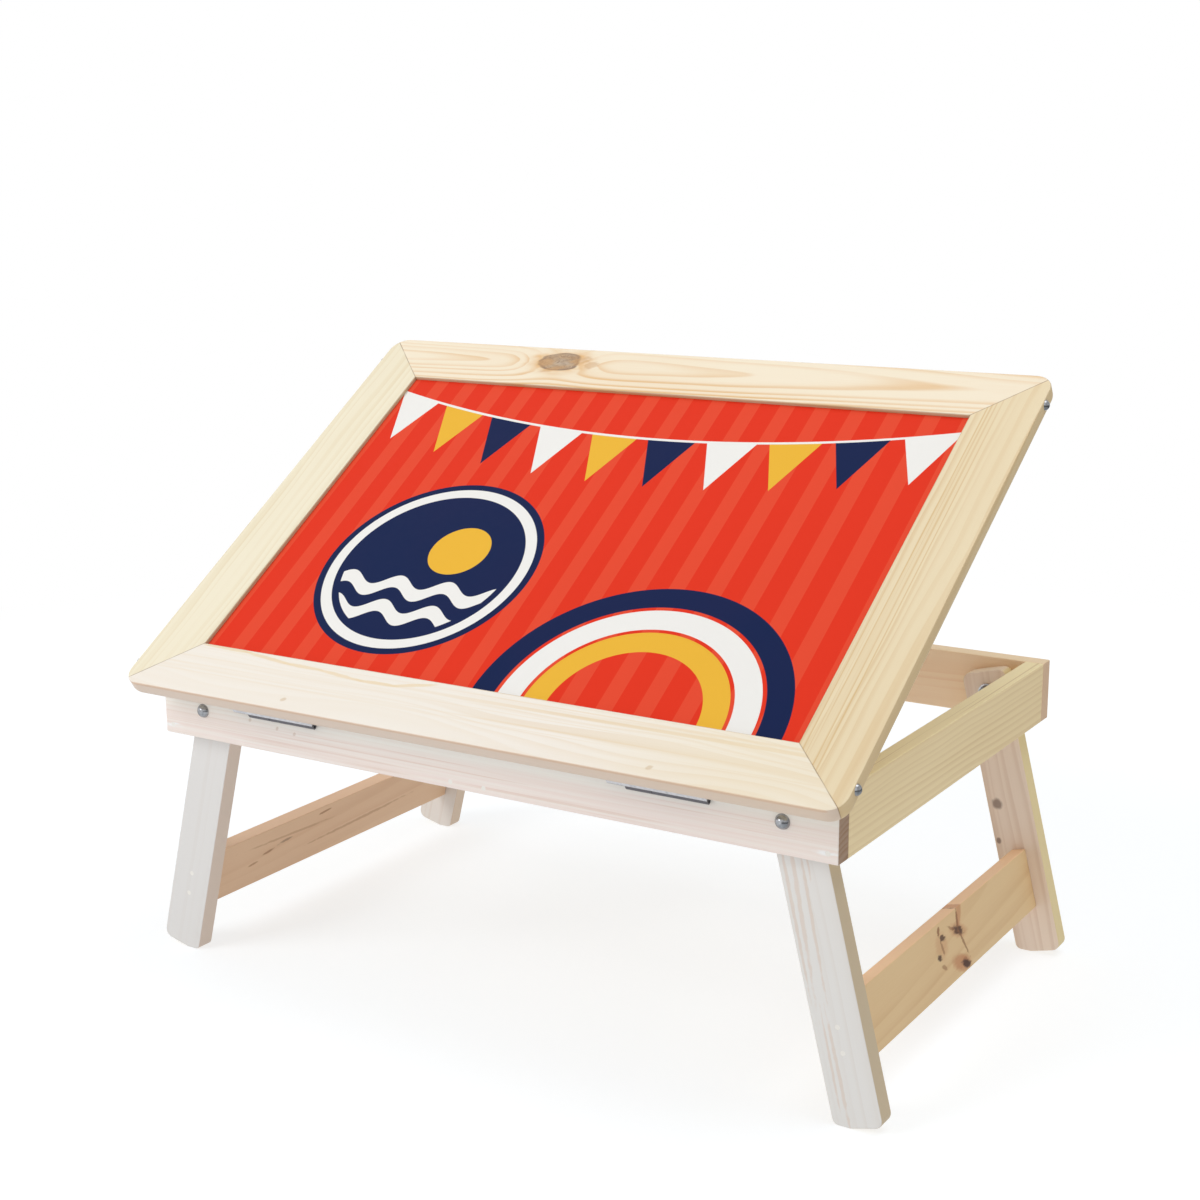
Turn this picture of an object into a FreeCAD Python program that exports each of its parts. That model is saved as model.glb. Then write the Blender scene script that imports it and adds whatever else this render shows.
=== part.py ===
import FreeCAD, Part
import os
import Sketcher

# A folding study table: a pine base frame on two folding leg frames, and a framed top
# that is hinged along its front edge and stands on a folding prop.
# Millimetres and degrees. X runs across, -Y is the user's side, Z is up, and the origin
# lies on the floor under the middle of the table's box.

doc = FreeCAD.newDocument("folding_study_table")


def make_sheet(name, cells):
    """A spreadsheet with one named cell for each size or formula."""
    sheet = doc.addObject("Spreadsheet::Sheet", name)
    for row, (alias, content) in enumerate(cells.items(), start=1):
        sheet.set(f"A{row}", alias)
        sheet.set(f"B{row}", str(content))
        sheet.setAlias(f"B{row}", alias)
    doc.recompute()
    return sheet


# Driving lengths, each set by itself.
LENGTHS = {
    "base_width": 580,                    # base frame, left to right
    "base_depth": 392,                    # base frame, front to back
    "base_height": 236,                   # floor to the top of the rails
    "rail_height": 48,                    # rails on edge
    "rail_thick": 15,                     # planed rail stock
    "arris": 1,                           # eased edges of the base and legs
    "slat_width": 46,                     # centre slat under the prop
    "slat_thick": 10,                     # centre slat
    "pad_width": 40,                      # ribbed rubber pad under the prop's foot
    "pad_length": 70,                     # pad, front to back
    "pad_thick": 3,                       # pad with its ribs
    "rib_depth": 1,                       # ribs of the pad
    "rib_width": 3,                       # one rib
    "rib_pitch": 6,                       # rib to rib
    "pad_set_back": 30,                   # pad's front edge ahead of the foot
    "leg_width": 37,                      # leg across its wide face
    "leg_thick": 15,                      # leg stock
    "leg_head": 17,                       # leg above its bolt
    "leg_round": 7,                       # rounded leg corners
    "foot_flat": 12,                      # flat that stands on the floor
    "foot_round": 5,                      # rounding of the flat's inner end
    "leg_gap": 0.3,                       # leg to rail, and leg to its stop
    "stretcher_height": 48,               # stretcher along the leg
    "stretcher_thick": 12,                # stretcher stock
    "left_stretcher_drop": 135,           # bolt to the stretcher's upper edge
    "right_stretcher_drop": 130,          # bolt to the stretcher's upper edge
    "bolt_width": 6,                      # coach bolt shank
    "bolt_head_width": 11,                # domed head
    "bolt_head_rise": 4.4,                # domed head
    "bolt_tail": 1.5,                     # thread past the nut
    "bolt_drop": 1.2,                     # bolts below the middle of the rails
    "washer_width": 14,                   # washer under the nut
    "washer_thick": 1.2,                  # washer
    "nut_corner": 11.5,                   # nut over its corners
    "nut_rise": 5,                        # nut
    "running_fit": 0.05,                  # radial room of a turning shank or pin
    "drill_fit": 0.02,                    # radial room round a nail or screw
    "nail_width": 2,                      # finishing nail
    "nail_head_width": 3.6,               # filled nail head
    "nail_head_rise": 1,                  # nail head, let in flush
    "nail_length": 34,                    # whole nail
    "nail_spacing": 34,                   # two nails in one joint, rails
    "slat_nail_spacing": 29,              # two nails into each end of the slat
    "leg_nail_spacing": 18,               # two nails into each end of a stretcher
    "top_thick": 15,                      # top frame stock
    "top_arris": 1.0,                     # eased edges of the top frame
    "corner_round": 15,                   # rounded corners of the top frame
    "under_round": 7,                     # rounded lower rim of the top frame
    "member_width": 50,                   # mitred frame member
    "panel_thick": 4,                     # printed board in the top
    "panel_recess": 3,                    # board below the frame's face
    "panel_tongue": 8,                    # board let into the members
    "panel_fit": 0.15,                    # room round the board in its groove
    "front_overhang": 18.8,               # closed top past the front rail
    "rear_overhang": 17.2,                # closed top past the rear rail
    "left_overhang": 10.5,                # closed top past the left side rail
    "right_overhang": 17.5,               # closed top past the right side rail
    "lid_gap": 0.3,                       # closed top over the rails
    "hinge_drop": 20.5,                   # hinge axis below the top of the rail
    "hinge_inset": 123,                   # barrel middle from the rail's end
    "hinge_shift": 1.3,                   # both hinges to the left
    "hinge_barrel_width": 4,              # barrel
    "hinge_barrel_length": 63,            # three knuckles
    "hinge_tail": 14,                     # leaf past the barrel's left end
    "hinge_middle_knuckle": 22,           # the rail leaf's knuckle
    "hinge_pin_width": 1.8,               # pin
    "hinge_pin_recess": 1.5,              # pin below the barrel's ends
    "hinge_leaf_thick": 1.2,              # pressed steel leaf
    "hinge_leaf_rise": 19.5,              # rail leaf above the axis
    "hinge_flange": 7.5,                  # bent part of the top leaf
    "knuckle_gap": 0.3,                   # between knuckles and leaves
    "screw_width": 3,                     # wood screw shank
    "screw_head_width": 5.6,              # countersunk head
    "screw_head_rise": 1.6,               # countersunk head
    "screw_length": 11,                   # hinge screw
    "screw_inset": 9,                     # screw from the end of a leaf
    "corner_screw_width": 4,              # screw through a frame corner
    "corner_screw_head_width": 8,         # domed head
    "corner_screw_head_rise": 3,          # domed head
    "corner_screw_length": 40,            # screw under its head
    "corner_screw_inset": 24,             # screw from the frame's front edge
    "rear_screw_inset": 28,               # screw from the frame's back edge
    "batten_width": 40,                   # batten under the board
    "batten_thick": 12,                   # batten
    "batten_end_room": 5,                 # batten end to side rail
    "batten_screw_room": 2,               # point of a batten screw to the board
    "prop_reach": 150,                    # top hinge axis to prop hinge axis, along the top
    "prop_width": 60,                     # prop board
    "prop_thick": 12,                     # prop board
    "prop_hinge_length": 50,              # prop hinge
    "prop_leaf_width": 18,                # one leaf, from the axis
    "prop_end_room": 0.8,                 # prop's end to the barrel
    "prop_screw_length": 9,               # prop hinge screw
    "foot_gap": 0.3,                      # prop's foot over its pad
    "overrun": 5,                         # cutters past the faces they cut
}
# Driving angles, in degrees.
ANGLES = {
    "leg_splay_angle": 14,                # leg from upright
    "tilt_angle": 32.9,                   # top from level at rest
    "prop_angle": 80,                     # prop from the top when it stands
}
sizes = make_sheet("sizes", {**LENGTHS, **ANGLES})

# Places worked out from the driving sizes. The top, prop and leg places are in
# frames of their own, which lie on the axes that these pieces turn on.
PLACES = {
    # Top frame, left to right
    "top_width": "=sizes.left_overhang + sizes.base_width + sizes.right_overhang",
    # Top's left edge
    "top_left": "=-sizes.base_width / 2 - sizes.left_overhang",
    # Top's right edge
    "top_right": "=sizes.base_width / 2 + sizes.right_overhang",
    # Top frame, front to back
    "top_depth": "=sizes.front_overhang + sizes.base_depth + sizes.rear_overhang",
    # Barrel radius
    "barrel": "=sizes.hinge_barrel_width / 2",
    # Top hinge axis
    "hinge_y": "=-sizes.base_depth / 2 - barrel",
    # Top hinge axis
    "hinge_z": "=sizes.base_height - sizes.hinge_drop",
    # Top's underside over its axis
    "underside": "=sizes.hinge_drop + sizes.lid_gap",
    # Top's face over its axis
    "top_face": "=underside + sizes.top_thick",
    # Top's front edge from its axis
    "top_front": "=barrel - sizes.front_overhang",
    # Foremost point
    "front_reach": "=hinge_y + (top_front + sizes.top_arris) * cos(sizes.tilt_angle)"
        " - (top_face - sizes.top_arris) * sin(sizes.tilt_angle) - sizes.top_arris",
    # Rearmost point
    "back_reach": "=sizes.base_depth / 2 + sizes.bolt_head_rise",
    # Base frame from the origin
    "base_y": "=-(front_reach + back_reach) / 2",
    # Middle of the rails
    "rail_mid": "=sizes.base_height - sizes.rail_height / 2",
    # Bolts, on which the legs turn
    "bolt_z": "=rail_mid - sizes.bolt_drop",
    # Under the rails
    "rail_foot": "=sizes.base_height - sizes.rail_height",
    # Inner face of a side rail
    "side_inner": "=sizes.base_width / 2 - sizes.rail_thick",
    # Inner face of front and rear rails
    "end_inner": "=sizes.base_depth / 2 - sizes.rail_thick",
    # Leg bolt, splayed leg on its rail
    "pivot_x": "=side_inner - sizes.leg_gap - (bolt_z - rail_foot) * tan(sizes.leg_splay_angle)"
        " - sizes.leg_width / 2 / cos(sizes.leg_splay_angle)",
    # Middle of a leg's thickness
    "leg_y": "=end_inner - sizes.leg_gap - sizes.leg_thick / 2",
    # Inner face of a leg
    "leg_inner": "=leg_y - sizes.leg_thick / 2",
    # Floor at the leg's inner edge, along the leg
    "foot_z": "=(sizes.leg_width / 2 * sin(sizes.leg_splay_angle) - bolt_z) / cos(sizes.leg_splay_angle)",
    # Leg's lower end
    "sole_z": "=foot_z - sizes.foot_flat * sin(sizes.leg_splay_angle)",
    # Middle of the left stretcher, along the leg
    "left_stretcher_mid": "=-sizes.left_stretcher_drop - sizes.stretcher_height / 2",
    # Middle of the right stretcher, along the leg
    "right_stretcher_mid": "=-sizes.right_stretcher_drop - sizes.stretcher_height / 2",
    # Upper face of the slat
    "slat_top": "=rail_foot + sizes.slat_thick",
    # Upper face of the ribs
    "pad_top": "=slat_top + sizes.pad_thick",
    # Under the batten
    "batten_foot": "=underside - sizes.batten_thick",
    # Prop hinge axis over the top's axis
    "prop_z": "=batten_foot - barrel",
    # Degrees, prop below level
    "prop_lean": "=sizes.prop_angle - sizes.tilt_angle",
    # Axis
    "prop_world_y": "=hinge_y + sizes.prop_reach * cos(sizes.tilt_angle) - prop_z * sin(sizes.tilt_angle)",
    # Axis
    "prop_world_z": "=hinge_z + sizes.prop_reach * sin(sizes.tilt_angle) + prop_z * cos(sizes.tilt_angle)",
    # Prop's upper end from its axis
    "prop_near": "=barrel + sizes.prop_end_room",
    # Prop's foot from its axis, lower face
    "prop_far": "=(prop_world_z + barrel * cos(prop_lean) - pad_top - sizes.foot_gap) / sin(prop_lean)",
    # Prop's foot, upper face
    "prop_heel": "=prop_far + sizes.prop_thick / tan(prop_lean)",
    # Foot
    "foot_world_y": "=prop_world_y + prop_far * cos(prop_lean) + barrel * sin(prop_lean)",
}
places = make_sheet("places", PLACES)


def value(expression):
    """The number that a formula in the sheets' cells gives now."""
    return float(sizes.evalExpression(expression))


# A frame is where a group of pieces is set: an origin, an axis and a turn about it.
FRAMES = {
    "base": (("0", "places.base_y", "0"), (1, 0, 0), None),
    "top": (("0", "places.base_y + places.hinge_y", "places.hinge_z"), (1, 0, 0), "sizes.tilt_angle"),
    "prop": (("0", "places.base_y + places.prop_world_y", "places.prop_world_z"), (1, 0, 0),
             "-places.prop_lean"),
    "left_leg": (("-places.pivot_x", "places.base_y", "places.bolt_z"), (0, 1, 0), "sizes.leg_splay_angle"),
    "right_leg": (("places.pivot_x", "places.base_y", "places.bolt_z"), (0, 1, 0), "-sizes.leg_splay_angle"),
}
PARTS = []


def bind_place(piece, x, y, z):
    """Bind a piece's place to three formulas."""
    for axis, expression in zip("xyz", (x, y, z)):
        piece.setExpression(f"Placement.Base.{axis}", expression)


def turned(axis, angle):
    """A placement that only turns."""
    return FreeCAD.Placement(FreeCAD.Vector(), FreeCAD.Rotation(FreeCAD.Vector(*axis), angle))


def seat(piece, label, frame):
    """Name a finished sub-part and set it in its frame."""
    origin, axis, angle = FRAMES[frame]
    if angle:
        piece.Placement = turned(axis, value(angle))
        piece.setExpression("Placement.Rotation.Angle", angle)
    bind_place(piece, *origin)
    piece.Label = label
    PARTS.append(piece)
    return piece


def outline(body, plane, points):
    """A closed sketch on one of the body's origin planes, each corner bound to two formulas."""
    sketch = body.newObject("Sketcher::SketchObject", body.Name + "_outline")
    support = next(item for item in body.Origin.OriginFeatures if item.Role == plane)
    sketch.AttachmentSupport = [(support, "")]
    sketch.MapMode = "FlatFace"
    corners = [FreeCAD.Vector(value(x), value(y), 0) for x, y in points]
    count = len(points)
    for index in range(count):
        sketch.addGeometry(Part.LineSegment(corners[index], corners[(index + 1) % count]), False)
    for index in range(count):
        sketch.addConstraint(Sketcher.Constraint("Coincident", index, 2, (index + 1) % count, 1))
    for index, (x, y) in enumerate(points):
        for kind, expression in (("DistanceX", x), ("DistanceY", y)):
            number = sketch.addConstraint(
                Sketcher.Constraint(kind, -1, 1, index, 1, value(expression)))
            sketch.setExpression(f"Constraints[{number}]", expression)
    return sketch


def edges_where(feature, test):
    """Names of a feature's edges whose ends and middle pass a test."""
    names = []
    for number, edge in enumerate(feature.Shape.Edges, start=1):
        if test(edge):
            names.append(f"Edge{number}")
    return names


# An edge runs along an axis when this much of its length does.
STRAIGHT_SHARE = 0.99


def along(axis):
    """A test for straight edges that run along one axis: 0, 1 or 2."""
    def test(edge):
        span = edge.Vertexes[-1].Point - edge.Vertexes[0].Point
        return abs(span[axis]) > STRAIGHT_SHARE * span.Length
    return test


def rounded(body, base, names, radius):
    """A fillet on named edges of the body's last feature."""
    fillet = body.newObject("PartDesign::Fillet", body.Name + "_round")
    fillet.Base = (base, names)
    fillet.setExpression("Radius", radius)
    doc.recompute()
    return fillet


def slab(name, plane, points, thickness):
    """A body padded evenly to both sides of an outline."""
    body = doc.addObject("PartDesign::Body", name)
    sketch = outline(body, plane, points)
    pad = body.newObject("PartDesign::Pad", name + "_pad")
    pad.Profile = sketch
    pad.Midplane = True
    pad.setExpression("Length", thickness)
    doc.recompute()
    return body, pad


def rectangle(half_x, half_y):
    """The corners of a centred rectangle."""
    return [(f"-({half_x})", f"-({half_y})"), (half_x, f"-({half_y})"),
            (half_x, half_y), (f"-({half_x})", half_y)]


def board(name, plane, half_x, half_y, thickness, centre):
    """A plain board with all its edges eased, set by its centre."""
    body, pad = slab(name, plane, rectangle(half_x, half_y), thickness)
    rounded(body, pad, edges_where(pad, lambda edge: True), "sizes.arris")
    bind_place(body, *centre)
    return body


def block(name, size, corner):
    """A box with its size and low corner bound to formulas."""
    piece = doc.addObject("Part::Box", name)
    for side, expression in zip(("Length", "Width", "Height"), size):
        piece.setExpression(side, expression)
    bind_place(piece, *corner)
    return piece


# Turns that point a part's own +Z along an axis.
ALONG = {"+X": ((0, 1, 0), 90), "-X": ((0, 1, 0), -90), "+Y": ((1, 0, 0), -90),
         "-Y": ((1, 0, 0), 90), "+Z": ((1, 0, 0), 0), "-Z": ((1, 0, 0), 180)}


def rod(name, width, length, start, way):
    """A cylinder from a start point along one axis."""
    piece = doc.addObject("Part::Cylinder", name)
    piece.setExpression("Radius", f"({width}) / 2")
    piece.setExpression("Height", length)
    piece.Placement = turned(*ALONG[way])
    bind_place(piece, *start)
    return piece


def step(point, way, distance):
    """A point's formulas moved along one axis."""
    sign, axis = way[0], "XYZ".index(way[1])
    moved = list(point)
    moved[axis] = f"{moved[axis]} {sign} ({distance})"
    return moved


def back(way):
    """The opposite axis."""
    return ("-" if way[0] == "+" else "+") + way[1]


def fused(name, pieces):
    """Several pieces made one solid."""
    piece = doc.addObject("Part::MultiFuse", name)
    piece.Shapes = pieces
    return piece


def group(name, pieces):
    """Separate solids that share a node."""
    piece = doc.addObject("Part::Compound", name)
    piece.Links = pieces
    return piece


def cut(name, base, tools):
    """A piece with its holes or grooves cut."""
    tool = tools[0] if len(tools) == 1 else group(name + "_tools", tools)
    piece = doc.addObject("Part::Cut", name + "_cut")
    piece.Base = base
    piece.Tool = tool
    return piece


def dome(name, width, rise, start, way):
    """A domed head: the cap of a sphere, its flat side at the start point."""
    ball = f"((({width}) / 2)^2 + ({rise})^2) / (2 * ({rise}))"
    piece = doc.addObject("Part::Sphere", name)
    piece.setExpression("Radius", ball)
    piece.setExpression("Angle1", f"asin(1 - ({rise}) / ({ball}))")
    piece.Angle2 = 90
    piece.Placement = turned(*ALONG[way])
    bind_place(piece, *step(start, back(way), f"({ball}) - ({rise})"))
    return piece


def nail(name, start, way):
    """A finishing nail driven flush from a face, and the hole that it fills."""
    solids = []
    for kind, room in (("nail", "0"), ("hole", "2 * sizes.drill_fit")):
        head = rod(f"{name}_{kind}_head", f"sizes.nail_head_width + {room}", "sizes.nail_head_rise", start, way)
        shank = rod(f"{name}_{kind}_shank", f"sizes.nail_width + {room}", "sizes.nail_length", start, way)
        solids.append(fused(f"{name}_{kind}", [head, shank]))
    return solids


def screw(name, start, way, length):
    """A countersunk screw driven flush from a face, and the hole that it fills."""
    solids = []
    for kind, room in (("screw", "0"), ("hole", "2 * sizes.drill_fit")):
        head = doc.addObject("Part::Cone", f"{name}_{kind}_head")
        head.setExpression("Radius1", f"(sizes.screw_head_width + {room}) / 2")
        head.setExpression("Radius2", f"(sizes.screw_width + {room}) / 2")
        head.setExpression("Height", "sizes.screw_head_rise")
        head.Placement = turned(*ALONG[way])
        bind_place(head, *start)
        shank = rod(f"{name}_{kind}_shank", f"sizes.screw_width + {room}", length, start, way)
        solids.append(fused(f"{name}_{kind}", [head, shank]))
    return solids


# The base frame: front and rear rails run the full width, the side rails fit between
# them, and the corners are nailed through the front and rear rails.
half_width = "sizes.base_width / 2"
half_depth = "sizes.base_depth / 2"
half_rail = "sizes.rail_height / 2"
half_stock = "sizes.rail_thick / 2"
ENDS = {"front": "-", "rear": "+"}
SIDES = {"left": "-", "right": "+"}

frame_nails, frame_holes = [], []
for end, end_sign in ENDS.items():
    way = "+Y" if end == "front" else "-Y"
    face = f"{end_sign} {half_depth}"
    for side, side_sign in SIDES.items():
        for level, level_sign in (("low", "-"), ("high", "+")):
            start = (f"{side_sign} ({half_width} - {half_stock})", face,
                     f"places.rail_mid {level_sign} sizes.nail_spacing / 2")
            pair = nail(f"{end}_{side}_{level}", start, way)
            frame_nails.append(pair[0])
            frame_holes.append(pair[1])
        start = (f"{side_sign} sizes.slat_nail_spacing / 2", face,
                 "places.rail_foot + sizes.slat_thick / 2")
        pair = nail(f"{end}_{side}_slat", start, way)
        frame_nails.append(pair[0])
        frame_holes.append(pair[1])
seat(group("frame_nail_set", frame_nails), "frame_nails", "base")

# Four coach bolts carry the legs. Each goes through its rail and leg to a washer and nut.
bolts, bolt_holes, washers, nuts = [], [], [], []
shank_length = ("sizes.rail_thick + sizes.leg_gap * 2 + sizes.leg_thick + sizes.washer_thick"
                " + sizes.nut_rise + sizes.bolt_tail")
for end, end_sign in ENDS.items():
    way = "+Y" if end == "front" else "-Y"
    for side, side_sign in SIDES.items():
        name = f"{end}_{side}_bolt"
        start = (f"{side_sign} places.pivot_x", f"{end_sign} {half_depth}", "places.bolt_z")
        head = dome(name + "_head", "sizes.bolt_head_width", "sizes.bolt_head_rise", start, back(way))
        shank = rod(name + "_shank", "sizes.bolt_width", shank_length, start, way)
        bolts.append(fused(name, [head, shank]))
        bolt_holes.append(rod(name + "_hole", "sizes.bolt_width + 2 * sizes.running_fit",
                              "sizes.rail_thick + 2 * sizes.overrun",
                              step(start, back(way), "sizes.overrun"), way))
        seat_y = (start[0], f"{end_sign} (places.leg_inner - sizes.leg_gap)", start[2])
        washer = rod(name + "_washer", "sizes.washer_width", "sizes.washer_thick", seat_y, way)
        eye = rod(name + "_washer_eye", "sizes.bolt_width + 2 * sizes.running_fit",
                  "sizes.washer_thick + 2 * sizes.overrun", step(seat_y, back(way), "sizes.overrun"), way)
        washers.append(cut(name + "_washer", washer, [eye]))
        nut_y = step(seat_y, way, "sizes.washer_thick")
        nut = doc.addObject("Part::Prism", name + "_nut")
        nut.Polygon = 6
        nut.setExpression("Circumradius", "sizes.nut_corner / 2")
        nut.setExpression("Height", "sizes.nut_rise")
        nut.Placement = turned(*ALONG[way])
        bind_place(nut, *nut_y)
        thread = rod(name + "_nut_eye", "sizes.bolt_width + 2 * sizes.running_fit",
                     "sizes.nut_rise + 2 * sizes.overrun", step(nut_y, back(way), "sizes.overrun"), way)
        nuts.append(cut(name + "_nut", nut, [thread]))
seat(group("leg_bolt_set", bolts), "leg_bolts", "base")
seat(group("leg_washer_set", washers), "leg_washers", "base")
seat(group("leg_nut_set", nuts), "leg_nuts", "base")

# The top's two hinges: the flat leaf is screwed to the front rail above the axis, and the
# bent leaf rises in front of it and turns forward under the top's overhang.
leaf = "sizes.hinge_leaf_thick"
barrel_start = "sizes.hinge_barrel_length / 2"
outer_knuckle = "(sizes.hinge_barrel_length - sizes.hinge_middle_knuckle) / 2 - sizes.knuckle_gap"
knuckle_clear = "places.barrel + sizes.knuckle_gap"
bore = "sizes.hinge_pin_width + 2 * sizes.running_fit"
rail_screws, rail_screw_holes, top_screws, top_screw_holes = [], [], [], []
for side, side_sign in SIDES.items():
    name = f"{side}_hinge"
    middle = f"({side_sign} (sizes.base_width / 2 - sizes.hinge_inset) - sizes.hinge_shift)"
    left_end = f"{middle} - {barrel_start}"
    face = f"-{half_depth}"

    # Rail leaf, in the base frame.
    axis_y, axis_z = "places.hinge_y", "places.hinge_z"
    knuckle_x = f"{middle} - sizes.hinge_middle_knuckle / 2"
    plate = block(name + "_rail_plate",
                  ("sizes.hinge_barrel_length", leaf, f"sizes.hinge_leaf_rise - ({knuckle_clear})"),
                  (left_end, f"{face} - {leaf}", f"{axis_z} + {knuckle_clear}"))
    tab = block(name + "_rail_tab", ("sizes.hinge_middle_knuckle", leaf, f"{knuckle_clear} + {leaf}"),
                (knuckle_x, f"{face} - {leaf}", axis_z))
    knuckle = rod(name + "_rail_knuckle", "sizes.hinge_barrel_width", "sizes.hinge_middle_knuckle",
                  (knuckle_x, axis_y, axis_z), "+X")
    eye = rod(name + "_rail_eye", bore, "sizes.hinge_middle_knuckle + 2 * sizes.overrun",
              (f"{knuckle_x} - sizes.overrun", axis_y, axis_z), "+X")
    own_holes = []
    for place, offset in (("a", f"-({barrel_start} - sizes.screw_inset)"), ("b", "0"),
                          ("c", f"({barrel_start} - sizes.screw_inset)")):
        start = (f"{middle} + {offset}", f"{face} - {leaf}",
                 f"{axis_z} + ({knuckle_clear} + sizes.hinge_leaf_rise) / 2")
        pair = screw(f"{name}_rail_{place}", start, "+Y", "sizes.screw_length")
        rail_screws.append(pair[0])
        own_holes.append(pair[1])
    rail_screw_holes += own_holes
    rail_leaf = fused(name + "_rail_leaf", [plate, tab, knuckle])
    seat(cut(name + "_rail_leaf", rail_leaf, [eye] + own_holes), f"hinge_rail_leaf_{side}", "base")
    pin = rod(name + "_pin", "sizes.hinge_pin_width",
              "sizes.hinge_barrel_length - 2 * sizes.hinge_pin_recess",
              (f"{left_end} + sizes.hinge_pin_recess", axis_y, axis_z), "+X")
    seat(group(name + "_pin_set", [pin]), f"hinge_pin_{side}", "base")

    # Top leaf, in the top's frame.
    web_length = "sizes.hinge_barrel_length + sizes.hinge_tail"
    web_x = f"{left_end} - sizes.hinge_tail"
    web = block(name + "_web", (web_length, leaf, f"places.underside - ({knuckle_clear})"),
                (web_x, "-places.barrel", knuckle_clear))
    flange = block(name + "_flange", (web_length, f"sizes.hinge_flange + {leaf}", leaf),
                   (web_x, "-places.barrel - sizes.hinge_flange", f"places.underside - {leaf}"))
    pieces, eyes = [web, flange], []
    for place, knuckle_x in (("left", left_end),
                             ("right", f"{middle} + sizes.hinge_middle_knuckle / 2 + sizes.knuckle_gap")):
        pieces.append(block(f"{name}_tab_{place}", (outer_knuckle, leaf, f"{knuckle_clear} + {leaf}"),
                            (knuckle_x, "-places.barrel", "0")))
        pieces.append(rod(f"{name}_knuckle_{place}", "sizes.hinge_barrel_width", outer_knuckle,
                          (knuckle_x, "0", "0"), "+X"))
        eyes.append(rod(f"{name}_eye_{place}", bore, f"{outer_knuckle} + 2 * sizes.overrun",
                        (f"{knuckle_x} - sizes.overrun", "0", "0"), "+X"))
    own_holes = []
    for place, x in (("a", f"{web_x} + sizes.screw_inset"),
                     ("b", f"{web_x} + ({web_length}) / 2"),
                     ("c", f"{web_x} + {web_length} - sizes.screw_inset")):
        start = (x, "-places.barrel - sizes.hinge_flange / 2", f"places.underside - {leaf}")
        pair = screw(f"{name}_top_{place}", start, "+Z", "sizes.screw_length")
        top_screws.append(pair[0])
        own_holes.append(pair[1])
    top_screw_holes += own_holes
    top_leaf = fused(name + "_top_leaf", pieces)
    seat(cut(name + "_top_leaf", top_leaf, eyes + own_holes), f"hinge_top_leaf_{side}", "top")
seat(group("rail_screw_set", rail_screws), "hinge_rail_screws", "base")
seat(group("top_screw_set", top_screws), "hinge_top_screws", "top")

# Rails and the centre slat, drilled for the nails, bolts and hinge screws.
for end, end_sign in ENDS.items():
    rail = board(end + "_rail_board", "XZ_Plane", half_width, half_rail, "sizes.rail_thick",
                 ("0", f"{end_sign} ({half_depth} - {half_stock})", "places.rail_mid"))
    drills = frame_holes + bolt_holes + (rail_screw_holes if end == "front" else [])
    seat(cut(end + "_rail", rail, drills), end + "_rail", "base")
for side, side_sign in SIDES.items():
    rail = board(side + "_rail_board", "YZ_Plane", "places.end_inner", half_rail, "sizes.rail_thick",
                 (f"{side_sign} ({half_width} - {half_stock})", "0", "places.rail_mid"))
    seat(cut(side + "_rail", rail, frame_holes), side + "_side_rail", "base")
slat = board("slat_board", "XY_Plane", "sizes.slat_width / 2", "places.end_inner", "sizes.slat_thick",
             ("0", "0", "places.rail_foot + sizes.slat_thick / 2"))
seat(cut("slat", slat, frame_holes), "centre_slat", "base")

# A ribbed rubber pad on the slat keeps the prop's foot from slipping.
pad_front = "places.foot_world_y - sizes.pad_set_back"
pad_left = "-sizes.pad_width / 2"
pad_ribs = [block("pad_sheet", ("sizes.pad_width", "sizes.pad_length", "sizes.pad_thick - sizes.rib_depth"),
                  (pad_left, pad_front, "places.slat_top"))]
rib_count = int((value("sizes.pad_length") - value("sizes.rib_width")) // value("sizes.rib_pitch")) + 1
for number in range(rib_count):
    pad_ribs.append(block(f"pad_rib_{number}", ("sizes.pad_width", "sizes.rib_width", "sizes.pad_thick"),
                          (pad_left, f"{pad_front} + {number} * sizes.rib_pitch", "places.slat_top")))
seat(fused("pad_solid", pad_ribs), "prop_pad", "base")

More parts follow.
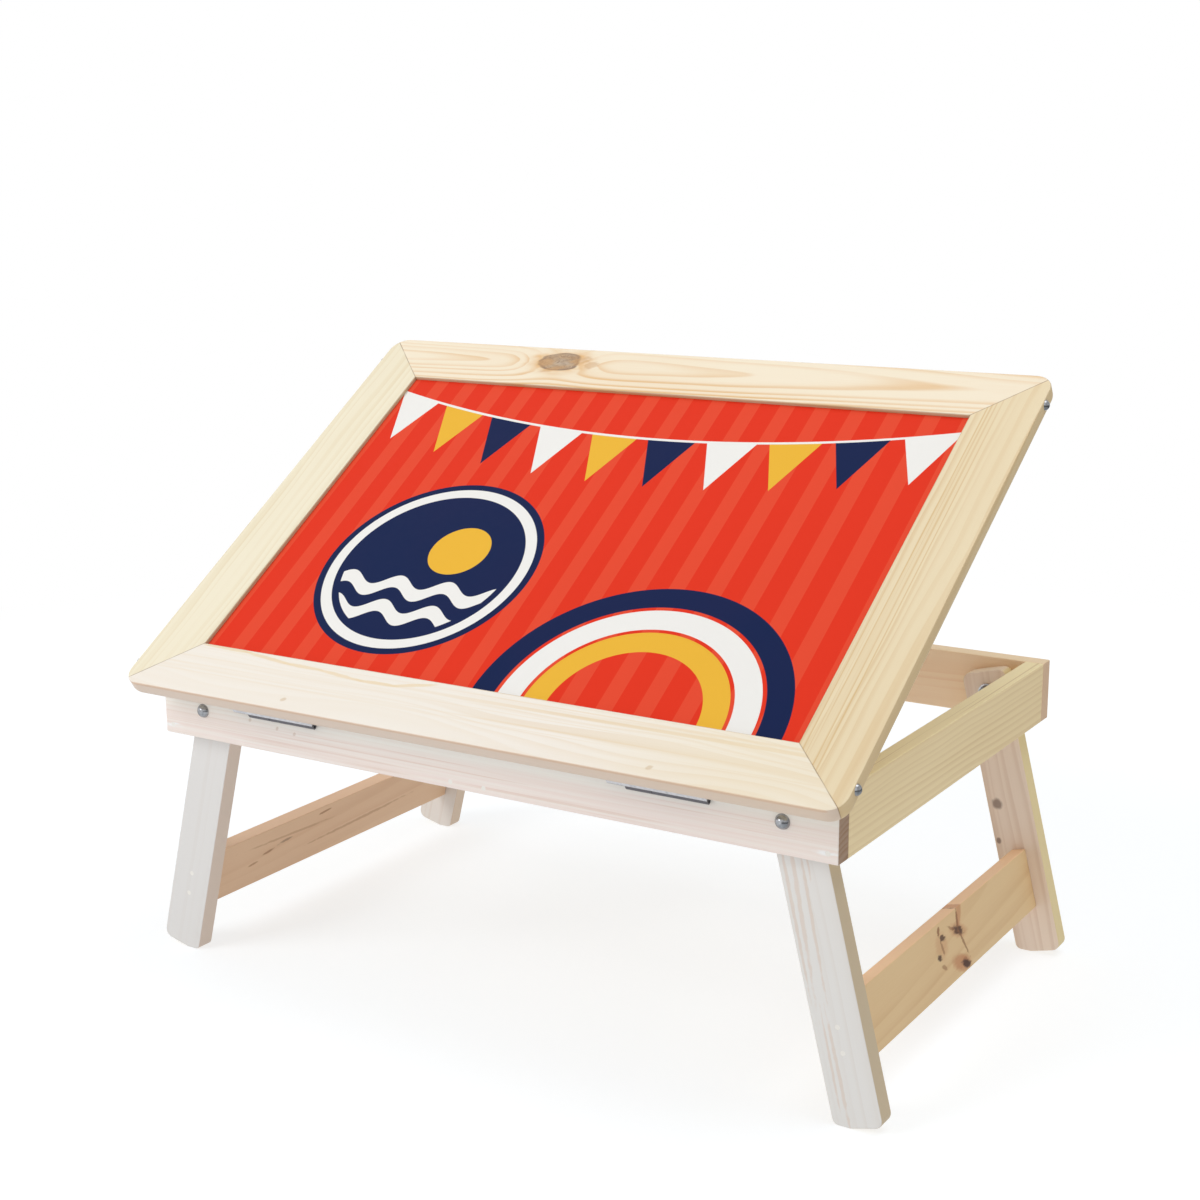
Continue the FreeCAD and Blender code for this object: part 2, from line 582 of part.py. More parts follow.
# The leg frames: two legs and a stretcher between them, nailed through the legs. A leg's
# own frame has X across it, Z up along it, and its bolt at the origin.
for side, side_sign in SIDES.items():
    frame = side + "_leg"
    inner, outer = (("+", "-") if side == "left" else ("-", "+"))
    nails, holes, legs = [], [], {}
    for end, end_sign in ENDS.items():
        way = "+Y" if end == "front" else "-Y"
        inner_x = f"{inner} sizes.leg_width / 2"
        outer_x = f"{outer} sizes.leg_width / 2"
        flat_end = f"{inner_x} {outer} sizes.foot_flat * cos(sizes.leg_splay_angle)"
        body, pad = slab(f"{side}_{end}_leg_board", "XZ_Plane",
                         [(inner_x, "places.foot_z"), (flat_end, "places.sole_z"),
                          (outer_x, "places.sole_z"), (outer_x, "sizes.leg_head"),
                          (inner_x, "sizes.leg_head")], "sizes.leg_thick")
        sole = value("places.sole_z")
        head = value("sizes.leg_head")
        half = value("sizes.leg_width") / 2 * (1 if outer == "+" else -1)

        def corner(edge, spots):
            middle = edge.CenterOfMass
            return along(1)(edge) and any(abs(middle.x - x) + abs(middle.z - z) < value("sizes.arris")
                                          for x, z in spots)

        ends = edges_where(pad, lambda edge: corner(edge, [(half, sole), (half, head), (-half, head)]))
        shaped = rounded(body, pad, ends, "sizes.leg_round")
        heel = edges_where(shaped, lambda edge: corner(edge, [(-half, value("places.foot_z"))]))
        shaped = rounded(body, shaped, heel, "sizes.foot_round")
        face = value("sizes.leg_thick") / 2
        rims = edges_where(shaped, lambda edge: all(
            abs(abs(vertex.Y) - face) < value("sizes.drill_fit") for vertex in edge.Vertexes)
            and not along(1)(edge))
        rounded(body, shaped, rims, "sizes.arris")
        bind_place(body, "0", f"{end_sign} places.leg_y", "0")
        legs[end] = body
        for level, level_sign in (("low", "-"), ("high", "+")):
            start = ("0", f"{end_sign} (places.leg_y + sizes.leg_thick / 2)",
                     f"places.{side}_stretcher_mid {level_sign} sizes.leg_nail_spacing / 2")
            pair = nail(f"{side}_{end}_leg_{level}", start, way)
            nails.append(pair[0])
            holes.append(pair[1])
    for end, end_sign in ENDS.items():
        way = "+Y" if end == "front" else "-Y"
        start = ("0", f"{end_sign} (places.leg_y + sizes.leg_thick / 2)", "0")
        eye = rod(f"{side}_{end}_leg_eye", "sizes.bolt_width + 2 * sizes.running_fit",
                  "sizes.leg_thick + 2 * sizes.overrun", step(start, back(way), "sizes.overrun"), way)
        seat(cut(f"{side}_{end}_leg", legs[end], holes + [eye]), f"{side}_{end}_leg", frame)
    bar = board(side + "_stretcher_board", "YZ_Plane", "places.leg_inner", "sizes.stretcher_height / 2",
                "sizes.stretcher_thick", ("0", "0", f"places.{side}_stretcher_mid"))
    seat(cut(side + "_stretcher", bar, holes), side + "_stretcher", frame)
    seat(group(side + "_leg_nail_set", nails), side + "_leg_nails", frame)

# The top: four mitred members round a board that sits in a groove. The top's own frame has
# Y along the top, Z square to it, and the hinge axis at the origin.
left_edge = "places.top_left"
right_edge = "places.top_right"
front_edge = "places.top_front"
rear_edge = "(places.top_front + places.top_depth)"
member = "sizes.member_width"
middle_z = "places.underside + sizes.top_thick / 2"
side_z = "places.underside + (sizes.under_round + sizes.top_thick - sizes.top_arris) / 2"
inner_left = f"({left_edge} + {member})"
inner_right = f"({right_edge} - {member})"
inner_front = f"({front_edge} + {member})"
inner_rear = f"({rear_edge} - {member})"

corner_screws, corner_holes = [], []
for side, edge_x, way in (("left", left_edge, "+X"), ("right", right_edge, "-X")):
    for end, y in (("front", f"{front_edge} + sizes.corner_screw_inset"),
                   ("rear", f"{rear_edge} - sizes.rear_screw_inset")):
        name = f"{end}_{side}_corner_screw"
        start = (edge_x, y, side_z)
        head = dome(name + "_head", "sizes.corner_screw_head_width", "sizes.corner_screw_head_rise",
                    start, back(way))
        shank = rod(name + "_shank", "sizes.corner_screw_width", "sizes.corner_screw_length", start, way)
        corner_screws.append(fused(name, [head, shank]))
        corner_holes.append(rod(name + "_hole", "sizes.corner_screw_width + 2 * sizes.drill_fit",
                                "sizes.corner_screw_length + sizes.drill_fit", start, way))
seat(group("corner_screw_set", corner_screws), "corner_screws", "top")

board_left = f"({inner_left} - sizes.panel_tongue)"
board_front = f"({inner_front} - sizes.panel_tongue)"
board_width = f"(places.top_width - 2 * {member} + 2 * sizes.panel_tongue)"
board_depth = f"(places.top_depth - 2 * {member} + 2 * sizes.panel_tongue)"
board_foot = "(places.top_face - sizes.panel_recess - sizes.panel_thick)"
groove = block("panel_groove",
               (f"{board_width} + 2 * sizes.panel_fit", f"{board_depth} + 2 * sizes.panel_fit",
                "sizes.panel_thick + 2 * sizes.panel_fit"),
               (f"{board_left} - sizes.panel_fit", f"{board_front} - sizes.panel_fit",
                f"{board_foot} - sizes.panel_fit"))
panel = block("panel_sheet", (board_width, board_depth, "sizes.panel_thick"),
              (board_left, board_front, board_foot))
seat(group("panel_set", [panel]), "top_panel", "top")

# The batten under the board that carries the prop's hinge.
batten_half = "(places.side_inner - sizes.batten_end_room)"
batten_screw = f"{board_foot} - places.batten_foot - sizes.batten_screw_room"
batten_screws, batten_holes = [], []
for side, screw_x in (("left", f"({inner_left} - {batten_half}) / 2"),
                      ("right", f"({inner_right} + {batten_half}) / 2")):
    for place, y in (("a", "sizes.prop_reach - sizes.batten_width * 3 / 4"),
                     ("b", "sizes.prop_reach - sizes.batten_width / 4")):
        start = (screw_x, y, "places.batten_foot")
        pair = screw(f"batten_{side}_{place}", start, "+Z", batten_screw)
        batten_screws.append(pair[0])
        batten_holes.append(pair[1])
seat(group("batten_screw_set", batten_screws), "batten_screws", "top")

MITRES = {
    "front": [(left_edge, front_edge), (right_edge, front_edge),
              (inner_right, inner_front), (inner_left, inner_front)],
    "rear": [(right_edge, rear_edge), (left_edge, rear_edge),
             (inner_left, inner_rear), (inner_right, inner_rear)],
    "left": [(left_edge, rear_edge), (left_edge, front_edge),
             (inner_left, inner_front), (inner_left, inner_rear)],
    "right": [(right_edge, front_edge), (right_edge, rear_edge),
              (inner_right, inner_rear), (inner_right, inner_front)],
}
window_low = FreeCAD.Vector(value(inner_left), value(inner_front), 0)
window_high = FreeCAD.Vector(value(inner_right), value(inner_rear), 0)
margin = value("sizes.overrun")


def at_window(edge):
    """A test for the frame's edges round its window."""
    points = [vertex.Point for vertex in edge.Vertexes]
    return not along(2)(edge) and all(
        window_low.x - margin < point.x < window_high.x + margin
        and window_low.y - margin < point.y < window_high.y + margin for point in points)


def at_rim(sign):
    """A test for the edges of a slab's upper or lower face."""
    return lambda edge: not along(2)(edge) and all(sign * vertex.Z > 0 for vertex in edge.Vertexes)


ring, pad = slab("frame_ring", "XY_Plane", [(left_edge, front_edge), (right_edge, front_edge),
                                            (right_edge, rear_edge), (left_edge, rear_edge)], "sizes.top_thick")
shaped = rounded(ring, pad, edges_where(pad, along(2)), "sizes.corner_round")
shaped = rounded(ring, shaped, edges_where(shaped, at_rim(-1)), "sizes.under_round")
rounded(ring, shaped, edges_where(shaped, at_rim(1)), "sizes.top_arris")
window = ring.newObject("PartDesign::Pocket", "frame_ring_window")
window.Profile = outline(ring, "XY_Plane", [(inner_left, inner_front), (inner_right, inner_front),
                                            (inner_right, inner_rear), (inner_left, inner_rear)])
window.Midplane = True
window.setExpression("Length", "sizes.top_thick + 2 * sizes.overrun")
doc.recompute()
rounded(ring, window, edges_where(window, at_window), "sizes.top_arris")
bind_place(ring, "0", "0", middle_z)
for place, points in MITRES.items():
    wedge, pad = slab(place + "_mitre", "XY_Plane", points, "sizes.top_thick + 2 * sizes.overrun")
    bind_place(wedge, "0", "0", middle_z)
    stick = doc.addObject("Part::MultiCommon", place + "_stick")
    stick.Shapes = [ring, wedge]
    drills = [groove] + corner_holes
    if place == "front":
        drills += top_screw_holes
    if place in SIDES:
        drills += batten_holes
    seat(cut(place + "_member", stick, drills), f"top_{place}_member", "top")

# The prop: a board on a small butt hinge under the batten. Its own frame has Y along the
# prop, from the hinge axis to the foot, and Z towards the top when the prop is folded.
half_prop_hinge = "sizes.prop_hinge_length / 2"
third = "sizes.prop_hinge_length / 3"
prop_leaf = f"sizes.prop_leaf_width - ({knuckle_clear})"
batten_side_screws, batten_side_holes, prop_screws, prop_holes = [], [], [], []


def butt_leaf(name, side_sign, axis, knuckles):
    """A flat leaf on one side of the prop's hinge axis, with its knuckles and screw holes."""
    axis_y, axis_z = axis
    plate_y = f"{axis_y} + {knuckle_clear}" if side_sign == "+" else f"{axis_y} - sizes.prop_leaf_width"
    tab_y = axis_y if side_sign == "+" else f"{axis_y} - ({knuckle_clear} + {leaf})"
    plate_z = f"{axis_z} + places.barrel - {leaf}"
    pieces = [block(name + "_plate", ("sizes.prop_hinge_length", prop_leaf, leaf),
                    (f"-{half_prop_hinge}", plate_y, plate_z))]
    eyes = []
    for number, (start, length) in enumerate(knuckles):
        pieces.append(block(f"{name}_tab_{number}", (length, f"{knuckle_clear} + {leaf}", leaf),
                            (start, tab_y, plate_z)))
        pieces.append(rod(f"{name}_knuckle_{number}", "sizes.hinge_barrel_width", length,
                          (start, axis_y, axis_z), "+X"))
        eyes.append(rod(f"{name}_eye_{number}", bore, f"{length} + 2 * sizes.overrun",
                        (f"{start} - sizes.overrun", axis_y, axis_z), "+X"))
    screws, holes = [], []
    for side, sign in SIDES.items():
        start = (f"{sign} ({half_prop_hinge} - sizes.screw_inset)",
                 f"{axis_y} {side_sign} (({knuckle_clear} + sizes.prop_leaf_width) / 2)", plate_z)
        pair = screw(f"{name}_{side}", start, "+Z", "sizes.prop_screw_length")
        screws.append(pair[0])
        holes.append(pair[1])
    return cut(name, fused(name + "_solid", pieces), eyes + holes), screws, holes


side_length = f"({third} - sizes.knuckle_gap)"
top_axis = ("sizes.prop_reach", "places.prop_z")
batten_leaf, batten_side_screws, batten_side_holes = butt_leaf(
    "prop_hinge_batten_leaf", "-", top_axis,
    [(f"-{half_prop_hinge}", side_length),
     (f"{half_prop_hinge} - {side_length}", side_length)])
seat(batten_leaf, "prop_hinge_batten_leaf", "top")
seat(group("batten_side_screw_set", batten_side_screws), "prop_hinge_batten_screws", "top")
pin = rod("prop_pin", "sizes.hinge_pin_width", "sizes.prop_hinge_length",
          (f"-{half_prop_hinge}", *top_axis), "+X")
seat(group("prop_pin_set", [pin]), "prop_hinge_pin", "top")
own_leaf, prop_screws, prop_holes = butt_leaf(
    "prop_hinge_prop_leaf", "+", ("0", "0"), [(f"-{third} / 2", third)])
seat(own_leaf, "prop_hinge_prop_leaf", "prop")
seat(group("prop_screw_set", prop_screws), "prop_hinge_prop_screws", "prop")

batten = board("batten_board", "XY_Plane", batten_half, "sizes.batten_width / 2", "sizes.batten_thick",
               ("0", "sizes.prop_reach - sizes.batten_width / 2",
                "places.batten_foot + sizes.batten_thick / 2"))
seat(cut("batten", batten, batten_holes + batten_side_holes), "prop_batten", "top")

body, pad = slab("prop_profile", "YZ_Plane",
                 [("places.prop_near", "places.barrel"), ("places.prop_far", "places.barrel"),
                  ("places.prop_heel", "places.barrel + sizes.prop_thick"),
                  ("places.prop_near", "places.barrel + sizes.prop_thick")], "sizes.prop_width")
rounded(body, pad, edges_where(pad, lambda edge: not along(0)(edge)), "sizes.arris")
seat(cut("prop", body, prop_holes), "prop_board", "prop")

# Every object has to be sound before anything is written.
doc.recompute()
for item in doc.Objects:
    if "Invalid" in item.State or "Error" in item.State:
        raise RuntimeError(f"{item.Name} failed: {item.State}")
for piece in PARTS:
    if piece.Shape.isNull() or not piece.Shape.isValid() or not piece.Shape.Solids:
        raise RuntimeError(f"{piece.Label} has no sound solid")

os.makedirs("parts", exist_ok=True)
for piece in PARTS:
    piece.Shape.exportStep(os.path.join("parts", piece.Label + ".step"))
for alias in ("base_y", "hinge_y", "hinge_z", "pivot_x", "bolt_z", "prop_world_y", "prop_world_z"):
    print(alias, round(value("places." + alias), 4))
print(len(PARTS), "sub-parts")
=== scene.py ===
import math

import bpy
from mathutils import Matrix, Vector

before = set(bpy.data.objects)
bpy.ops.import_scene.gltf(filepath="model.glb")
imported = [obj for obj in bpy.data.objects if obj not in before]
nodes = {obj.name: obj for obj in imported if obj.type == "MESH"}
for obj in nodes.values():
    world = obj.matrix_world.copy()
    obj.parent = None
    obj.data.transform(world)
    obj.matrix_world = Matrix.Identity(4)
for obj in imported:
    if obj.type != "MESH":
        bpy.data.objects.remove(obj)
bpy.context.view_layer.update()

# The top frame: four planed pine members, mitred at the corners, glued and screwed, with
# eased upper edges, a round lower rim and a clear satin varnish. Pale cream wood with fine
# grain, arched figure and a large knot in the rear member.
MEMBER_WIDTH = 0.050
TILT = math.radians(32.9)
ACROSS = Vector((1, 0, 0))
UP_TOP = Vector((0, math.cos(TILT), math.sin(TILT)))


def new_group(name, inputs, outputs):
    """An empty shader node group with named sockets, and its two end nodes."""
    group = bpy.data.node_groups.new(name, "ShaderNodeTree")
    for socket, kind, value in inputs:
        item = group.interface.new_socket(name=socket, in_out="INPUT", socket_type="NodeSocket" + kind)
        if value is not None:
            item.default_value = value
    for socket, kind in outputs:
        group.interface.new_socket(name=socket, in_out="OUTPUT", socket_type="NodeSocket" + kind)
    return group, group.nodes.new("NodeGroupInput"), group.nodes.new("NodeGroupOutput")


def sums(tree):
    """Short makers of math, vector, mix, ramp and noise nodes in one node tree."""
    def put(socket, value):
        if isinstance(value, bpy.types.NodeSocket):
            tree.links.new(value, socket)
        elif value is not None:
            socket.default_value = value

    def number(operation, first, second=None, third=None, clamp=False):
        node = tree.nodes.new("ShaderNodeMath")
        node.operation = operation
        node.use_clamp = clamp
        for socket, value in zip(node.inputs, (first, second, third)):
            put(socket, value)
        return node.outputs[0]

    def vector(operation, first, second=None):
        node = tree.nodes.new("ShaderNodeVectorMath")
        node.operation = operation
        put(node.inputs[0], first)
        put(node.inputs[1], second)
        return node.outputs["Value"] if operation in ("DOT_PRODUCT", "LENGTH") else node.outputs[0]

    def mix(share, first, second):
        """A mix of two colours, whose sockets are the node's 6, 7 and 2."""
        node = tree.nodes.new("ShaderNodeMix")
        node.data_type = "RGBA"
        put(node.inputs[0], share)
        put(node.inputs[6], first)
        put(node.inputs[7], second)
        return node.outputs[2]

    def ramp(value, start, end):
        """From 0 at the start to 1 at the end, falling where the end is the lower one."""
        node = tree.nodes.new("ShaderNodeMapRange")
        node.interpolation_type = "SMOOTHSTEP"
        put(node.inputs["Value"], value)
        put(node.inputs["From Min"], start)
        put(node.inputs["From Max"], end)
        return node.outputs[0]

    def noise(place, stretch, detail=2.0, rough=0.5):
        node = tree.nodes.new("ShaderNodeTexNoise")
        put(node.inputs["Vector"], vector("MULTIPLY", place, stretch))
        node.inputs["Scale"].default_value = 1.0
        node.inputs["Detail"].default_value = detail
        node.inputs["Roughness"].default_value = rough
        return node.outputs[0]

    return number, vector, mix, ramp, noise


def axes_of(tree, place):
    """The three numbers of a place."""
    parts = tree.nodes.new("ShaderNodeSeparateXYZ")
    tree.links.new(place, parts.inputs[0])
    return parts.outputs[0], parts.outputs[1], parts.outputs[2]


def screen(red, green, blue):
    """A colour given as it looks on screen, 0 to 255, in the renderer's linear values."""
    def one(level):
        share = level / 255
        return share / 12.92 if share <= 0.04045 else ((share + 0.055) / 1.055) ** 2.4
    return (one(red), one(green), one(blue), 1.0)


# Pine: year rings about a pith line beside or under the board, so that flat boards show
# arches and quartered ones straight lines. Place is in metres from the board's middle, with
# X along the grain, Y across the board and Z through it.
FAR_AWAY = (9, 9, 9)
pine_group, pine_in, pine_out = new_group(
    "pine_grain",
    [("Place", "Vector", None), ("Seed", "Float", 0.0), ("Pith", "Vector", (0, 0, -0.05)),
     ("Taper", "Float", 0.04), ("Ring Spacing", "Float", 0.004), ("Wander", "Float", 0.5),
     ("Contrast", "Float", 0.5), ("End Grain", "Float", 0.0),
     ("Early Wood", "Color", None), ("Late Wood", "Color", None), ("End Wood", "Color", None),
     ("Knot Place", "Vector", FAR_AWAY), ("Knot Size", "Float", 0.006), ("Knot Colour", "Color", None)],
    [("Colour", "Color"), ("Roughness", "Float"), ("Height", "Float")])
number, vector, mix, ramp, noise = sums(pine_group)
wood_place = pine_in.outputs["Place"]

# Slow bends and small ripples of the rings, other ones for each board's seed.
SEED_STEP = (0.731, 0.317, 0.211)
BEND_STRETCH, LEAN_STRETCH, RIPPLE_STRETCH = (3, 14, 14), (2.2, 9, 9), (9, 70, 70)
LEAN_SHIFT = (4, 7, 2)
NOISE_MIDDLE = 0.5
shift = pine_group.nodes.new("ShaderNodeCombineXYZ")
for axis, step in enumerate(SEED_STEP):
    pine_group.links.new(number("MULTIPLY", pine_in.outputs["Seed"], step), shift.inputs[axis])
here = vector("ADD", wood_place, shift.outputs[0])
bend = number("SUBTRACT", noise(here, BEND_STRETCH), NOISE_MIDDLE)
lean = number("SUBTRACT", noise(vector("ADD", here, LEAN_SHIFT), LEAN_STRETCH), NOISE_MIDDLE)
ripple = number("SUBTRACT", noise(here, RIPPLE_STRETCH), NOISE_MIDDLE)

# A knot: how far a place is from it, in knot sizes, and how hard it pulls the rings aside.
# It is longer along the grain and runs deep into the board.
KNOT_STRETCH = (0.65, 1.0, 0.15)
KNOT_WOBBLE, KNOT_FADE, KNOT_PULL = 1.5, -0.2, 1.4
from_knot = vector("SUBTRACT", wood_place, pine_in.outputs["Knot Place"])
reach = vector("LENGTH", vector("MULTIPLY", from_knot, KNOT_STRETCH))
reach = number("DIVIDE", reach, pine_in.outputs["Knot Size"])
reach = number("ADD", reach, number("MULTIPLY", number("ADD", ripple, bend), KNOT_WOBBLE))
pull = number("POWER", math.e, number("MULTIPLY", number("MULTIPLY", reach, reach), KNOT_FADE))
pull = number("MULTIPLY", pull, pine_in.outputs["Knot Size"])

# The rings: a slow rise to the late wood of each year, a sharp fall after it, and years of
# uneven width.
RING_WANDER, RIPPLE_DEPTH = 0.03, 0.0014
GROWTH_SCALE, GROWTH_YEARS = 60.0, 3.0
LATE_RISE, LATE_FALL = (0.30, 0.90), (1.0, 0.88)
PATCH_STRETCH, PATCH_LEVEL = (2, 55, 55), (1.8, -0.4)
from_pith = axes_of(pine_group, vector("SUBTRACT", wood_place, pine_in.outputs["Pith"]))
wander = number("MULTIPLY", pine_in.outputs["Wander"], RING_WANDER)
ring_y = number("ADD", from_pith[1], number("MULTIPLY", bend, wander))
ring_z = number("MULTIPLY_ADD", from_pith[0], pine_in.outputs["Taper"], from_pith[2])
ring_z = number("ADD", ring_z, number("MULTIPLY", lean, wander))
radius = number("ADD", number("MULTIPLY", ring_y, ring_y), number("MULTIPLY", ring_z, ring_z))
radius = number("SQRT", radius)
radius = number("ADD", radius, number("MULTIPLY", ripple, RIPPLE_DEPTH))
radius = number("ADD", radius, number("MULTIPLY", pull, KNOT_PULL))
growth_place = pine_group.nodes.new("ShaderNodeCombineXYZ")
pine_group.links.new(number("MULTIPLY", radius, GROWTH_SCALE), growth_place.inputs[0])
pine_group.links.new(pine_in.outputs["Seed"], growth_place.inputs[1])
growth = noise(growth_place.outputs[0], (1, 1, 1), detail=3.0, rough=0.6)
even_years = number("DIVIDE", radius, pine_in.outputs["Ring Spacing"])
year = number("FRACT", number("MULTIPLY_ADD", growth, GROWTH_YEARS, even_years))
late = number("MULTIPLY", ramp(year, *LATE_RISE), ramp(year, *LATE_FALL))
patches = number("MULTIPLY_ADD", noise(here, PATCH_STRETCH, detail=1.0), *PATCH_LEVEL, clamp=True)
late = number("MULTIPLY", late, patches)

# The wood's colour: early and late wood, fine fibres and pale clouds, and the darker wood of
# sawn ends.
FIBRE_STRETCH, FIBRE_SHARE = (26, 1300, 1300), 0.22
CLOUD_STRETCH, CLOUD_MIDDLE, CLOUD_SHARE = (4, 24, 24), 0.42, 0.5
END_FACE, END_LEVEL = (0.55, 0.9), (0.14, 0.84)
fibre = noise(here, FIBRE_STRETCH, detail=3.0, rough=0.7)
cloud = noise(here, CLOUD_STRETCH, detail=3.0)
grain = number("MULTIPLY", late, pine_in.outputs["Contrast"])
fibre_tone = number("MULTIPLY", number("SUBTRACT", fibre, NOISE_MIDDLE), FIBRE_SHARE)
cloud_tone = number("MULTIPLY", number("SUBTRACT", cloud, CLOUD_MIDDLE), CLOUD_SHARE)
grain = number("ADD", number("ADD", grain, fibre_tone), cloud_tone, clamp=True)
colour = mix(grain, pine_in.outputs["Early Wood"], pine_in.outputs["Late Wood"])
sawn = number("MULTIPLY", ramp(pine_in.outputs["End Grain"], *END_FACE),
              number("MULTIPLY_ADD", late, *END_LEVEL))
colour = mix(sawn, colour, pine_in.outputs["End Wood"])

# The knot's colour: a patchy halo, a mottled and cracked heart, and a broken dark rim.
HALO_EDGE, HALO_STRETCH, HALO_LEVEL = (2.3, 1.0), (60, 120, 120), (2.2, -0.55)
HEART_EDGE, HEART_STRETCH, HEART_LEVEL = (1.02, 0.85), (170, 260, 260), (0.7, 0.25)
CRACK_STRETCH, CRACK_WIDTH = (130, 330, 330), 0.03
RIM_RISE, RIM_FALL, RIM_STRETCH, RIM_LEVEL = (0.74, 0.92), (1.1, 0.96), (45, 45, 45), (2.0, -0.3)
halo = number("MULTIPLY", ramp(reach, *HALO_EDGE),
              number("MULTIPLY_ADD", noise(here, HALO_STRETCH), *HALO_LEVEL, clamp=True))
colour = mix(halo, colour, pine_in.outputs["Late Wood"])
mottle = noise(here, HEART_STRETCH, detail=3.0, rough=0.65)
mottle = number("MULTIPLY_ADD", mottle, *HEART_LEVEL, clamp=True)
crack = number("ABSOLUTE", number("SUBTRACT", noise(here, CRACK_STRETCH), NOISE_MIDDLE))
mottle = number("MAXIMUM", mottle, ramp(crack, CRACK_WIDTH, 0.0))
heart = number("MULTIPLY", ramp(reach, *HEART_EDGE), mottle)
colour = mix(heart, colour, pine_in.outputs["Knot Colour"])
rim = number("MULTIPLY", ramp(reach, *RIM_RISE), ramp(reach, *RIM_FALL))
rim = number("MULTIPLY", rim, number("MULTIPLY_ADD", noise(here, RIM_STRETCH), *RIM_LEVEL, clamp=True))
colour = mix(rim, colour, pine_in.outputs["Knot Colour"])
pine_group.links.new(colour, pine_out.inputs["Colour"])

# The planed and varnished surface: late wood shines more and stands up a little.
PORE_STRETCH = (90, 3000, 3000)
SHEEN_LEVEL, LATE_SHEEN = (0.18, 0.40), -0.07
FIBRE_HEIGHT, PORE_HEIGHT, LATE_HEIGHT = 0.4, 0.35, 0.25
sheen = number("MULTIPLY_ADD", fibre, *SHEEN_LEVEL)
pine_group.links.new(number("MULTIPLY_ADD", late, LATE_SHEEN, sheen), pine_out.inputs["Roughness"])
pores = number("MULTIPLY", noise(here, PORE_STRETCH, detail=1.0), PORE_HEIGHT)
relief = number("ADD", number("MULTIPLY", fibre, FIBRE_HEIGHT), pores)
pine_group.links.new(number("MULTIPLY_ADD", late, LATE_HEIGHT, relief), pine_out.inputs["Height"])


def span(node, way):
    """The lowest and highest reach of a node's mesh along a direction."""
    place = nodes[node].matrix_world
    reaches = [way.dot(place @ vertex.co) for vertex in nodes[node].data.vertices]
    return min(reaches), max(reaches)


def board_place(tree, node, grain, wide):
    """Coordinates from a board's middle, its surface's direction and half of its length."""
    axes = (grain, wide, grain.cross(wide))
    spans = [span(node, axis) for axis in axes]
    middle = sum((axis * (low + high) / 2 for axis, (low, high) in zip(axes, spans)), Vector())
    board = tree.nodes.new("ShaderNodeMapping")
    board.vector_type = "TEXTURE"
    board.inputs["Location"].default_value = middle
    board.inputs["Rotation"].default_value = Matrix(axes).transposed().to_euler()
    coordinates = tree.nodes.new("ShaderNodeTexCoord")
    tree.links.new(coordinates.outputs["Object"], board.inputs["Vector"])
    return board.outputs[0], coordinates.outputs["Normal"], (spans[0][1] - spans[0][0]) / 2


def new_material(name, *node_names):
    """A material with a Principled shader, put on the named nodes."""
    material = bpy.data.materials.new(name)
    material.use_nodes = True
    for node in node_names:
        nodes[node].data.materials.clear()
        nodes[node].data.materials.append(material)
    return material.node_tree, material.node_tree.nodes["Principled BSDF"]


def add_bump(tree, shader, height, strength, distance):
    """A fine relief on a shader."""
    bump = tree.nodes.new("ShaderNodeBump")
    bump.inputs["Strength"].default_value = strength
    bump.inputs["Distance"].default_value = distance
    tree.links.new(height, bump.inputs["Height"])
    tree.links.new(bump.outputs[0], shader.inputs["Normal"])


VARNISH_SHINE = 0.35
GRAIN_BUMP, GRAIN_DEPTH = 0.12, 0.0004
FACE_ONLY, EDGE_ONLY = (0.8, 0.4), (0.45, 0.8)
STREAK_FADE = 0.004
MARK_STRETCH, MARK_MIDDLE, MARK_EDGE = (150, 420, 420), -0.577, (1.1, 0.5)


